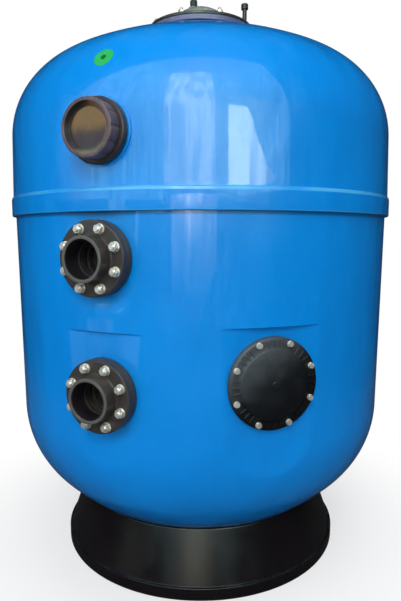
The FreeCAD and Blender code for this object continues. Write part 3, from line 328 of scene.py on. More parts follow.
@dataclass(frozen=True)
class Finish:
    """One surface finish: colours, gloss and the size and depth of its grain."""

    name: str
    colour: Colour
    second: Colour
    roughness: float = 0.4
    drift_scale: float = 6.0
    drift: float = 0.6
    grain: float = 500.0
    waviness: float = 0.3
    bump: float = 0.1
    bump_depth: float = 0.0004
    dust: float = 0.0
    dust_colour: Colour = (0.42, 0.4, 0.36)
    rubbed: float = 0.0
    rubbed_colour: Colour = (0.5, 0.5, 0.5)
    metallic: float = 0.0
    coat: float = 0.0
    coat_roughness: float = 0.05
    specular: float = 0.5
    transmission: float = 0.0
    ior: float = 1.5

    @cache
    def material(self) -> bpy.types.Material:
        """Build the finish's material the first time it is asked for.

        Returns:
            The material.
        """
        material, wire, place = new_material(self.name)
        material.diffuse_color = (*self.colour, 1.0)
        colour, roughness, height = self.layers(wire, place)
        links = {"Strength": self.bump, "Distance": self.bump_depth, "Height": height}
        values = {
            "Base Color": colour,
            "Roughness": roughness,
            "Normal": wire.add("ShaderNodeBump", links).outputs["Normal"],
            "Metallic": self.metallic,
            "Coat Weight": self.coat,
            "Coat Roughness": self.coat_roughness,
            "Specular IOR Level": self.specular,
            "Transmission Weight": self.transmission,
            "IOR": self.ior,
        }
        for socket, value in values.items():
            wire.connect(value, material.node_tree.nodes["Principled BSDF"].inputs[socket])
        return material

    def layers(self, wire: Wiring, place: bpy.types.NodeSocket) -> Layers:
        """Stack drift, rubbed edges and dust, and vary the gloss with the grain.

        Args:
            wire: the material's wiring.
            place: the object coordinates.

        Returns:
            Sockets of the colour, the roughness and the bump's height.
        """

        def use(group: bpy.types.NodeTree, **links: object) -> bpy.types.bpy_prop_collection:
            """Place a shared group in the material and return its outputs."""
            named = {label.replace("_", " ").title(): source for label, source in links.items()}
            return wire.add("ShaderNodeGroup", {"Place": place, **named}, node_tree=group).outputs

        grain = use(grain_group(), scale=self.grain, waviness=self.waviness)
        shades = {"colour": (*self.colour, 1.0), "second_colour": (*self.second, 1.0)}
        colour = use(drift_group(), **shades, scale=self.drift_scale, amount=self.drift)["Colour"]
        low, high = self.roughness * 0.85, min(self.roughness * 1.2, 1.0)
        roughness = wire.between(grain["Mask"], 0.0, 1.0, low, high)
        if self.rubbed > 0:
            rubbed = (*self.rubbed_colour, 1.0)
            colour = use(wear_group(), colour=colour, rubbed_colour=rubbed, amount=self.rubbed)["Colour"]
        if self.dust > 0:
            shades = {"colour": colour, "dust_colour": (*self.dust_colour, 1.0)}
            dusty = use(dust_group(), **shades, roughness=roughness, amount=self.dust)
            colour, roughness = dusty["Colour"], dusty["Roughness"]
        return colour, roughness, grain["Height"]


@dataclass(frozen=True)
class Gelcoat(Finish):
    """Glossy gelcoat over glass fibre: slow waves, bands of painted shade and painted highlight lines.

    A band of painted shade starts at one height, is full at a second and ends at a third, with an
    amount; a painted highlight line lies between two heights. All are in metres.
    """

    # Bands of painted shade: under the belt, at the neck's root under the flange, and on the dish where it
    # goes into the plinth.
    shades: tuple[tuple[float, float, float, float], ...] = (
        (1.244, 1.252, 1.2582, 0.5),
        (1.912, 1.926, 1.942, 0.7),
        (0.29, 0.19, 0.5, 0.55),
    )
    painted_shade_colour: Colour = (0.0, 0.07, 0.2)
    # Painted highlight lines along the rounding at the belt's top and bottom.
    painted_highlight_lines: tuple[tuple[float, float], ...] = ((1.3135, 1.3252), (1.2585, 1.2615))
    painted_highlight_colour: Colour = (0.12, 0.55, 0.9)
    highlight_line_fade: float = 0.003

    def layers(self, wire: Wiring, place: bpy.types.NodeSocket) -> Layers:
        """Add painted shade, painted highlights and a hand-laid wall's slow waves to the plain layers.

        Args:
            wire: the material's wiring.
            place: the object coordinates.

        Returns:
            Sockets of the colour, the roughness and the bump's height.
        """
        colour, roughness, height = super().layers(wire, place)
        level = wire.axis(place, "Z")
        # Painted shade: each band mixes the colour towards a dark navy.
        for low, high, top, amount in self.shades:
            mask = wire.math("MULTIPLY", wire.between(level, low, high), wire.math("LESS_THAN", level, top))
            colour = wire.mix(wire.math("MULTIPLY", mask, amount), colour, self.painted_shade_colour)
        # Painted highlight: each line mixes the colour towards a pale blue, broken by noise.
        for low, high in self.painted_highlight_lines:
            start = wire.between(level, low, low + self.highlight_line_fade)
            inside = wire.math("MULTIPLY", start, wire.math("LESS_THAN", level, high))
            thin = wire.between(wire.noise(place, 5.0, 2.0), 0.35, 0.65, 0.25, 0.65)
            colour = wire.mix(wire.math("MULTIPLY", inside, thin), colour, self.painted_highlight_colour)
        stretched = wire.add("ShaderNodeMapping", {"Vector": place, "Scale": (1.0, 1.0, 0.45)}).outputs[0]
        waves = wire.math("MULTIPLY", wire.noise(stretched, 9.0, 1.0, 0.4), 26.0)
        slow = wire.math("MULTIPLY_ADD", wire.noise(stretched, 42.0, 2.0, 0.5), 3.2, waves)
        return colour, roughness, wire.math("ADD", height, slow)


@dataclass(frozen=True)
class Tint:
    """One tint of painted light and shade on a round face: a direction in its plane, the ranges where
    it fades in, a colour.
    """

    direction: float
    along: tuple[float, float]
    outward: tuple[float, float]
    colour: Colour
    amount: float = 1.0


@dataclass(frozen=True)
class RoundFace(Finish):
    """Finish of a round face on the wall, with painted light and shade laid on by direction and by
    distance from its middle.
    """

    seat: Seat = Seat()
    distance: float = 700.0
    reach: float = 60.0
    tints: tuple[Tint, ...] = ()

    def layers(self, wire: Wiring, place: bpy.types.NodeSocket) -> Layers:
        """Lay the tints of painted light and shade over the plain layers, in order.

        Args:
            wire: the material's wiring.
            place: the object coordinates.

        Returns:
            Sockets of the colour, the roughness and the bump's height.
        """
        colour, roughness, height = super().layers(wire, place)
        reach = self.reach * MM
        middle = self.seat.matrix() @ Vector((0.0, 0.0, self.distance * MM))
        moved = wire.add("ShaderNodeVectorMath", {0: place, 1: middle}, operation="SUBTRACT").outputs[0]
        outward = wire.math("DIVIDE", wire.length(moved), reach)
        cloud = wire.math("MULTIPLY", wire.noise(place, 2.2 / reach, 3.0, 0.6), 0.5)
        # Each tint mixes its colour of painted light and shade into the colour.
        for tint in self.tints:
            angle = math.radians(tint.direction)
            way = self.seat.matrix().to_3x3() @ Vector((math.cos(angle), math.sin(angle), 0.0))
            dot = wire.add("ShaderNodeVectorMath", {0: moved, 1: way}, operation="DOT_PRODUCT")
            share = wire.math("DIVIDE", dot.outputs["Value"], reach)
            share = wire.math("ADD", share, wire.math("SUBTRACT", cloud, 0.25))
            mask = wire.between(share, *tint.along)
            if tint.outward[1] > 0:
                mask = wire.math("MULTIPLY", mask, wire.between(outward, *tint.outward))
            colour = wire.mix(wire.math("MULTIPLY", mask, tint.amount), colour, tint.colour)
        return colour, roughness, height


GELCOAT = Gelcoat(
    "azure_gelcoat", (0.0004, 0.285, 0.86), (0.0002, 0.255, 0.8), roughness=0.16, drift_scale=3.0,
    drift=0.8, grain=900.0, waviness=0.2, bump=0.45, bump_depth=0.0009, dust=0.1,
    dust_colour=(0.2, 0.45, 0.7), coat=0.7, coat_roughness=0.035, specular=0.35,
)
LAMINATE_INSIDE = Finish(
    "resin_laminate", (0.30, 0.19, 0.075), (0.22, 0.125, 0.045), roughness=0.35, drift_scale=14.0,
    drift=0.9, grain=260.0, waviness=0.8, bump=0.5, bump_depth=0.0009, coat=0.3,
)
PLINTH_BLACK = Finish(
    "plinth_polyethylene", (0.0068, 0.0048, 0.0066), (0.0105, 0.0082, 0.009), roughness=0.22,
    drift_scale=7.0, drift=0.7, grain=520.0, waviness=1.2, bump=0.3, bump_depth=0.0007, dust=0.16,
    dust_colour=(0.085, 0.078, 0.078), rubbed=0.2, rubbed_colour=(0.045, 0.043, 0.046), specular=0.38,
)
PVC_DARK = Finish(
    "dark_pressure_pvc", (0.042, 0.037, 0.039), (0.046, 0.037, 0.032), roughness=0.38, specular=0.35,
    drift_scale=22.0, drift=0.9, grain=700.0, waviness=0.6, bump=0.25, bump_depth=0.0004, dust=0.3,
    dust_colour=(0.2, 0.18, 0.14), rubbed=0.45, rubbed_colour=(0.17, 0.16, 0.15),
)
# The bore is painted far darker than the flange's own PVC: painted shade inside the socket.
PVC_BORE = Finish(
    "dark_pvc_bore", (0.009, 0.007, 0.011), (0.02, 0.012, 0.018), roughness=0.42, drift_scale=28.0,
    drift=0.8, grain=600.0, bump=0.2,
)
PVC_CUT = Finish(
    "cut_pvc_face", (0.1, 0.1, 0.095), (0.075, 0.072, 0.065), roughness=0.45, drift_scale=40.0,
    drift=0.9, grain=700.0, bump=0.3, rubbed=0.4, rubbed_colour=(0.24, 0.22, 0.2), dust=0.2,
)
# A lilac-grey colour on the neck flange, in place of the gelcoat's blue.
FLANGE_EDGE = Finish(
    "lilac_grey_flange_edge", (0.17, 0.165, 0.27), (0.1, 0.11, 0.2), roughness=0.45, drift_scale=26.0,
    drift=1.0, grain=420.0, waviness=0.9, bump=0.4, bump_depth=0.0006, dust=0.2,
)
# Painted shade on the neck's root under the flange: a dark navy, with duller gloss than the gelcoat.
NECK_ROOT = Finish(
    "rough_neck_in_painted_shade", (0.002, 0.075, 0.22), (0.002, 0.05, 0.15), roughness=0.65, drift_scale=18.0,
    drift=1.0, grain=420.0, bump=0.3, specular=0.2,
)
PVC_PIPE = Finish(
    "grey_pressure_pipe", (0.15, 0.16, 0.17), (0.12, 0.13, 0.14), roughness=0.34, drift_scale=9.0,
    grain=650.0, bump=0.15, dust=0.15,
)
COLLECTOR_WHITE = Finish(
    "collector_polypropylene", (0.72, 0.72, 0.68), (0.62, 0.62, 0.57), roughness=0.45,
    drift_scale=16.0, grain=500.0, bump=0.2, dust=0.2, dust_colour=(0.5, 0.45, 0.36),
)
SEAL_RUBBER = Finish(
    "nitrile_rubber", (0.018, 0.018, 0.018), (0.03, 0.03, 0.03), roughness=0.62, drift_scale=40.0,
    grain=1200.0, bump=0.4, bump_depth=0.0003,
)
STAINLESS = Finish(
    "stainless_steel", (0.95, 0.86, 0.82), (0.8, 0.7, 0.63), roughness=0.42, drift_scale=70.0,
    drift=0.9, grain=1500.0, waviness=0.5, bump=0.25, bump_depth=0.0002, metallic=0.78, dust=0.15,
)
GLASS_BODY = Finish(
    "sight_glass_body", (0.028, 0.026, 0.034), (0.045, 0.036, 0.042), roughness=0.4, drift_scale=20.0,
    specular=0.3, drift=0.9, grain=650.0, bump=0.25, dust=0.2, rubbed=0.5,
    rubbed_colour=(0.14, 0.12, 0.12),
)
GLASS_RING = Finish(
    "sight_glass_ring", (0.14, 0.1, 0.11), (0.075, 0.052, 0.06), roughness=0.42, drift_scale=34.0,
    specular=0.3, drift=1.0, grain=620.0, bump=0.3, rubbed=0.7, rubbed_colour=(0.33, 0.27, 0.27),
    dust=0.3, dust_colour=(0.3, 0.26, 0.24),
)
# Painted light and shade of the sight glass's recess: plum low down, lit crescents on the right
# and lower right, and a black painted shadow at the upper left.
GLASS_PAINTED_LIGHT_AND_SHADE = (
    Tint(-90.0, (-0.25, 0.3), (0.0, 0.0), (0.05, 0.032, 0.04)),
    Tint(-60.0, (0.25, 0.75), (0.68, 0.92), (0.17, 0.18, 0.135), 0.85),
    Tint(15.0, (0.35, 0.8), (0.7, 0.95), (0.2, 0.14, 0.145), 0.85),
    Tint(150.0, (0.2, 0.6), (0.72, 0.9), (0.012, 0.011, 0.013)),
)
# The disc stands for clear glass: its amber paints the vessel's inside, lit through the walls, as seen
# through it, and the tints add the recess's painted light and shade.
WINDOW_AMBER = RoundFace(
    "window_painted_lit_inside", (0.2, 0.112, 0.042), (0.15, 0.1, 0.04), roughness=0.24, drift_scale=40.0,
    grain=900.0, bump=0.05, coat=0.06, coat_roughness=0.04, specular=0.2, seat=GLASS_SEAT,
    distance=756.0, reach=70.0, tints=GLASS_PAINTED_LIGHT_AND_SHADE,
)
# The ring's throat is painted in the window's colours, with the same painted light and shade of the recess.
RING_THROAT = RoundFace(
    "ring_throat", (0.16, 0.1, 0.055), (0.12, 0.08, 0.05), roughness=0.42, drift_scale=40.0, grain=700.0,
    bump=0.2, specular=0.2, seat=GLASS_SEAT, distance=764.0, reach=70.0, tints=GLASS_PAINTED_LIGHT_AND_SHADE,
)
LID_CLEAR = Finish(
    "clear_lid_acrylic", (0.5, 0.58, 0.55), (0.42, 0.52, 0.46), roughness=0.12, drift_scale=12.0,
    drift=0.8, grain=500.0, bump=0.08, transmission=0.72, ior=1.49, dust=0.35,
)
LID_RIM = Finish(
    "smoked_lid_rim", (0.035, 0.045, 0.045), (0.06, 0.07, 0.065), roughness=0.25, drift_scale=18.0,
    drift=0.9, grain=500.0, bump=0.1, transmission=0.25, ior=1.49, dust=0.3,
)
COVER_BLACK = RoundFace(
    "moulded_cover_black", (0.005, 0.0055, 0.008), (0.008, 0.0085, 0.011), roughness=0.4, drift_scale=24.0,
    specular=0.3, drift=0.8, grain=620.0, waviness=0.8, bump=0.3, bump_depth=0.0005, dust=0.15,
    dust_colour=(0.1, 0.1, 0.1), rubbed=0.12, rubbed_colour=(0.06, 0.065, 0.07),
    seat=MANHOLE_SEAT, distance=700.0, reach=110.0, tints=(
        # Painted highlight on the cover's upper left and painted shade on its lower right.
        Tint(125.0, (-0.15, 1.1), (0.0, 0.0), (0.065, 0.078, 0.092), 0.9),
        Tint(-50.0, (0.0, 0.9), (0.0, 0.0), (0.003, 0.003, 0.006), 0.8),
    ),
)
KNOB_BLACK = Finish(
    "moulded_knob_black", (0.014, 0.014, 0.016), (0.022, 0.022, 0.024), roughness=0.38, drift_scale=40.0,
    grain=800.0, bump=0.25, rubbed=0.4, rubbed_colour=(0.1, 0.1, 0.1), dust=0.2,
)
DISC_GREEN = Finish(
    "green_disc_film", (0.024, 0.46, 0.11), (0.016, 0.38, 0.08), roughness=0.35, drift_scale=60.0,
    grain=900.0, bump=0.05,
)
DISC_DOT = Finish(
    "green_disc_dot", (0.006, 0.12, 0.03), (0.004, 0.08, 0.02), roughness=0.4, drift_scale=60.0,
    bump=0.05,
)


# Mesh makers

def arc(centre_r: float, centre_z: float, radius: float, start: float, end: float, steps: int) -> Outline:
    """Return points along an arc of an outline.

    Args:
        centre_r: radius of the arc's centre from the axis.
        centre_z: height of the arc's centre.
        radius: radius of the arc.
        start: first angle in degrees, from the outward direction towards up.
        end: last angle in degrees.
        steps: number of parts.

    Returns:
        The points, both ends with them.
    """
    points = []
    for step in range(steps + 1):
        angle = math.radians(start + (end - start) * step / steps)
        points.append((centre_r + radius * math.cos(angle), centre_z + radius * math.sin(angle)))
    return points


def softened(corners: list[tuple], steps: int = 5) -> Outline:
    """Round the corners of a closed outline.

    Args:
        corners: (across, along) for a corner that is rounded a little, (across, along, radius) for
            one with its own radius, 0 to keep it sharp.
        steps: parts of each rounding.

    Returns:
        The rounded outline.
    """
    points: Outline = []
    count = len(corners)
    for index, corner in enumerate(corners):
        here = Vector(corner[:2])
        radius = corner[2] if len(corner) > 2 else 0.8
        before = Vector(corners[index - 1][:2]) - here
        after = Vector(corners[(index + 1) % count][:2]) - here
        angle = before.angle(after) if before.length > 1e-6 and after.length > 1e-6 else math.pi
        if radius <= 0 or here.x < 1e-6 or abs(math.pi - angle) < 0.02:
            points.append((here.x, here.y))
            continue
        reach = min(radius / math.tan(angle / 2), before.length * 0.48, after.length * 0.48)
        start = here + before.normalized() * reach
        end = here + after.normalized() * reach
        for step in range(steps + 1):
            share = step / steps
            point = start.lerp(here, share).lerp(here.lerp(end, share), share)
            points.append((point.x, point.y))
    return points


def make_object(name: str, verts: list, faces: list, finish: Finish, seat: Seat = AXIS) -> bpy.types.Object:
    """Make a mesh object from points in millimetres in a seat's axes, with outward normals.

    Args:
        name: name of the object.
        verts: points in millimetres.
        faces: point indices of each face.
        finish: finish of its first material slot.
        seat: where the mesh is.

    Returns:
        The object, linked to the scene.
    """
    mesh = bpy.data.meshes.new(name)
    mesh.from_pydata([Vector(point) * MM for point in verts], [], faces)
    form = bmesh.new()
    form.from_mesh(mesh)
    bmesh.ops.remove_doubles(form, verts=form.verts, dist=1e-7)
    bmesh.ops.recalc_face_normals(form, faces=form.faces)
    form.to_mesh(mesh)
    form.free()
    mesh.transform(seat.matrix())
    mesh.materials.append(finish.material())
    shade(mesh)
    item = bpy.data.objects.new(name, mesh)
    bpy.context.scene.collection.objects.link(item)
    return item


def shade(mesh: bpy.types.Mesh, angle: float = 32.0) -> None:
    """Shade a mesh smooth, apart from edges sharper than an angle."""
    mesh.shade_smooth()
    mesh.set_sharp_from_angle(angle=math.radians(angle))


def bands(rings: list) -> list[tuple[int, ...]]:
    """Return the faces between each ring and the next one.

    Args:
        rings: point indices of each ring, all of one for a pole.

    Returns:
        The point indices of each face.
    """
    faces = []
    for first, second in zip(rings, rings[1:]):
        for index in range(len(first)):
            after = (index + 1) % len(first)
            corners = dict.fromkeys((first[index], first[after], second[after], second[index]))
            if len(corners) > 2:
                faces.append(tuple(corners))
    return faces


def lathe(
    name: str,
    outline: Outline,
    finish: Finish,
    seat: Seat = AXIS,
    segments: int = 96,
    ripple: Ripple | None = None,
) -> bpy.types.Object:
    """Turn a closed outline of (radius, along) about the seat's axis.

    Args:
        name: name of the object.
        outline: closed outline.
        finish: finish of the piece.
        seat: where the piece is.
        segments: faces round the axis.
        ripple: gives a new radius from the angle, the radius and the place along the axis.

    Returns:
        The object.
    """
    verts: list = []
    rings: list = []
    for radius, along in outline:
        if radius < 1e-6:
            rings.append([len(verts)] * segments)
            verts.append((0.0, 0.0, along))
            continue
        rings.append([len(verts) + index for index in range(segments)])
        for index in range(segments):
            angle = 2 * math.pi * index / segments
            reach = ripple(angle, radius, along) if ripple else radius
            verts.append((reach * math.cos(angle), reach * math.sin(angle), along))
    return make_object(name, verts, bands([*rings, rings[0]]), finish, seat)


def turned(
    name: str, corners: Corners, finish: Finish, *rest: object, **named: object
) -> bpy.types.Object:
    """Turn an outline after rounding its corners; the arguments are those of softened and lathe."""
    return lathe(name, softened(corners), finish, *rest, **named)


def rod(radius: float, low: float, high: float, seat: Seat = AXIS, segments: int = 96) -> bpy.types.Object:
    """Make a plain round rod that cuts a hole."""
    return lathe("rod", [(0, low), (radius, low), (radius, high), (0, high)], STAINLESS, seat, segments)


def hexagon_reach(angle: float, flats: float) -> float:
    """Return how far a hexagon reaches at an angle, for a width across its flats."""
    return flats / 2 / math.cos((angle + math.pi / 6) % (math.pi / 3) - math.pi / 6)


def nut_form(flats: float, low: float, height: float, bore: float = 0.0) -> bpy.types.Object:
    """Make one hexagon nut, or a bolt head where the bore is 0, with its corners chamfered.

    Args:
        flats: width across the flats.
        low: where its seat is along the axis.
        height: height above its seat.
        bore: radius of the hole.

    Returns:
        The object.
    """
    edge = flats / 2 * 0.96

    def ripple(angle: float, radius: float, along: float) -> float:
        """Push the outer rings out to the hexagon."""
        return hexagon_reach(angle, flats) if radius == flats else radius

    outline = [(bore, 0.0), (edge, 0.0), (flats, 1.0)]
    outline += [(flats, height - 1.6), (edge, height), (bore, height)]
    if bore > 0:
        outline[-1:] = [(bore + 1.0, height), (bore, height - 1.0)]
    else:
        outline.insert(-1, (edge * 0.5, height + 0.2))
    nut = lathe("nut", outline, STAINLESS, segments=48, ripple=ripple)
    nut.data.transform(Matrix.Translation((0, 0, low * MM)))
    return nut


def washer_form(
    bore: float, radius: float, low: float, high: float, lip: float, segments: int
) -> bpy.types.Object:
    """Make one washer.

    Args:
        bore: radius of the hole.
        radius: outer radius.
        low: where it starts along the axis.
        high: where it ends.
        lip: rounding of its lower edge; the upper one has a little more.
        segments: faces round the axis.

    Returns:
        The object.
    """
    over = 0.8 if lip > 0.5 else 0.6
    outline = softened([(bore, low, 0.3), (radius, low, lip), (radius, high, over), (bore, high, 0.3)], 2)
    return lathe("washer", outline, STAINLESS, segments=segments)


def bolt_form(
    radius: float, low: float, high: float, thread: float, flats: float, head: tuple[float, float]
) -> bpy.types.Object:
    """Make one bolt: a hexagon head, and a rod with rings for its thread near the top.

    Args:
        radius: radius of the rod.
        low: where the rod starts along the axis.
        high: where it ends.
        thread: length of the thread.
        flats: width of the head across its flats.
        head: where the head starts, and its height.

    Returns:
        The object.
    """
    pitch = radius / 4
    along = high - thread
    outline: Outline = [(0.0, low), (radius, low), (radius, along)]
    while along + pitch < high - pitch / 2:
        outline += [(radius, along + pitch * 0.35), (radius - pitch * 0.5, along + pitch * 0.8)]
        along += pitch
    outline += [(radius, high - pitch * 0.7), (radius - pitch * 0.6, high), (0.0, high)]
    bolt = lathe("bolt", outline, STAINLESS, segments=28)
    top = nut_form(flats, *head)
    form = bmesh.new()
    for piece in (bolt, top):
        form.from_mesh(piece.data)
    form.to_mesh(bolt.data)
    form.free()
    bpy.data.objects.remove(top)
    shade(bolt.data)
    return bolt


def combined(piece: bpy.types.Object, tools: list[bpy.types.Object], operation: str = "DIFFERENCE") -> None:
    """Cut tools out of a piece or join them to it, and remove them.

    Args:
        piece: the piece that is changed.
        tools: the objects to cut with or to join.
        operation: DIFFERENCE or UNION.
    """
    for index, tool in enumerate(tools):
        modifier = piece.modifiers.new(f"tool_{index}", "BOOLEAN")
        modifier.object = tool
        modifier.operation = operation
        modifier.solver = "EXACT"
    settled(piece)
    for tool in tools:
        bpy.data.objects.remove(tool)
    shade(piece.data)


def settled(piece: bpy.types.Object) -> None:
    """Turn a piece and its modifiers into a plain mesh.

    Args:
        piece: the piece, which keeps its name.
    """
    graph = bpy.context.evaluated_depsgraph_get()
    mesh = bpy.data.meshes.new_from_object(piece.evaluated_get(graph))
    piece.modifiers.clear()
    piece.data = mesh


@cache
def circle_pattern() -> bpy.types.NodeTree:
    """Build the geometry nodes that repeat one small piece round a circle.

    Returns:
        The node group.
    """
    tree = bpy.data.node_groups.new("circle_pattern", "GeometryNodeTree")
    for label, kind in (
        ("Item", "Object"), ("Finish", "Material"), ("Count", "Int"), ("Radius", "Float"),
        ("First Angle", "Float"), ("Step Angle", "Float"), ("Loose Turn", "Float"), ("Seed", "Int"),
    ):
        tree.interface.new_socket(label, in_out="INPUT", socket_type=f"NodeSocket{kind}")
    tree.interface.new_socket("Geometry", in_out="OUTPUT", socket_type="NodeSocketGeometry")
    wire = Wiring(tree)
    given = wire.add("NodeGroupInput").outputs
    order = wire.add("GeometryNodeInputIndex").outputs[0]
    angle = wire.math("MULTIPLY_ADD", order, given["Step Angle"], given["First Angle"])
    across = wire.math("MULTIPLY", wire.math("COSINE", angle), given["Radius"])
    up = wire.math("MULTIPLY", wire.math("SINE", angle), given["Radius"])
    place = wire.add("ShaderNodeCombineXYZ", {0: across, 1: up}).outputs[0]
    points = wire.add("GeometryNodePoints", {"Count": given["Count"], "Position": place}).outputs[0]
    loose = wire.add("FunctionNodeRandomValue", {"ID": order, "Seed": given["Seed"]}, data_type="FLOAT")
    turn = wire.math("MULTIPLY_ADD", loose.outputs[1], given["Loose Turn"], angle)
    spin = wire.add("ShaderNodeCombineXYZ", {2: turn}).outputs[0]
    item = wire.add("GeometryNodeObjectInfo", {"Object": given["Item"]}).outputs["Geometry"]
    links = {"Points": points, "Instance": item, "Rotation": spin}
    placed = wire.add("GeometryNodeInstanceOnPoints", links).outputs[0]
    real = wire.add("GeometryNodeRealizeInstances", {0: placed}).outputs[0]
    dressed = wire.add("GeometryNodeSetMaterial", {"Geometry": real, "Material": given["Finish"]})
    wire.add("NodeGroupOutput", {0: dressed.outputs[0]})
    return tree


@dataclass(frozen=True)
class Circle:
    """A circle of equal pieces: its radius, their count, and the angles of the first and each step."""

    radius: float
    count: int = 8
    first: float = 22.5
    step: float = 45.0
    seat: Seat = AXIS

    def repeat(
        self, name: str, item: bpy.types.Object, finish: Finish, loose: float = 0.0, seed: int = 1
    ) -> bpy.types.Object:
        """Repeat a piece round the circle and return the plain mesh.

        Args:
            name: name of the result.
            item: the piece to repeat, made at the origin; it is removed.
            finish: finish of the result.
            loose: largest turn of each about its own axis in degrees.
            seed: seed of that turn.

        Returns:
            The object.
        """
        piece = bpy.data.objects.new(name, bpy.data.meshes.new(name))
        bpy.context.scene.collection.objects.link(piece)
        modifier = piece.modifiers.new("pattern", "NODES")
        modifier.node_group = circle_pattern()
        values = {
            "Item": item,
            "Finish": finish.material(),
            "Count": self.count,
            "Radius": self.radius * MM,
            "First Angle": math.radians(self.first),
            "Step Angle": math.radians(self.step),
            "Loose Turn": math.radians(loose),
            "Seed": seed,
        }
        for socket in modifier.node_group.interface.items_tree:
            if socket.in_out == "INPUT":
                modifier[socket.identifier] = values[socket.name]
        settled(piece)
        piece.data.transform(self.seat.matrix())
        shade(piece.data)
        bpy.data.objects.remove(item)
        return piece

    def holes(self, radius: float, low: float, high: float, segments: int = 20) -> bpy.types.Object:
        """Return a rod for each place of the circle, which cut its holes."""
        return self.repeat("holes", rod(radius, low, high, segments=segments), STAINLESS)


def dress_faces(piece: bpy.types.Object, finishes: list[Finish], choose: Choice, seat: Seat = AXIS) -> None:
    """Give some faces of a piece further finishes.

    Args:
        piece: the piece, with its main finish in slot 0.
        finishes: finishes of slots 1 and up.
        choose: gives a face's slot from its middle in millimetres in the seat's axes, and its normal.
        seat: the seat.
    """
    for finish in finishes:
        piece.data.materials.append(finish.material())
    inverse = seat.matrix().inverted()
    for face in piece.data.polygons:
        face.material_index = choose(inverse @ face.center / MM, face.normal)


def place_piece(piece: bpy.types.Object, body: Body, nodes: list[str]) -> None:
    """Hang a piece on the body that it rides on, and hide the CAD nodes that it stands for.

    Args:
        piece: the piece.
        body: the body that it rides on.
        nodes: names of the CAD nodes that it stands for.
    """
    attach(piece, body.value)
    if nodes:
        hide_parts(*nodes)
    LOG.info("%s: %d faces on %s", piece.name, len(piece.data.polygons), body.value)


# Sub-assemblies

@dataclass(frozen=True)
class Flat:
    """One flat moulded into the lower wall: its face's distance, its ends, and the low ledge's reach."""

    azimuth: float
    face: float
    low: float
    high: float
    low_ledge: float = 5.0


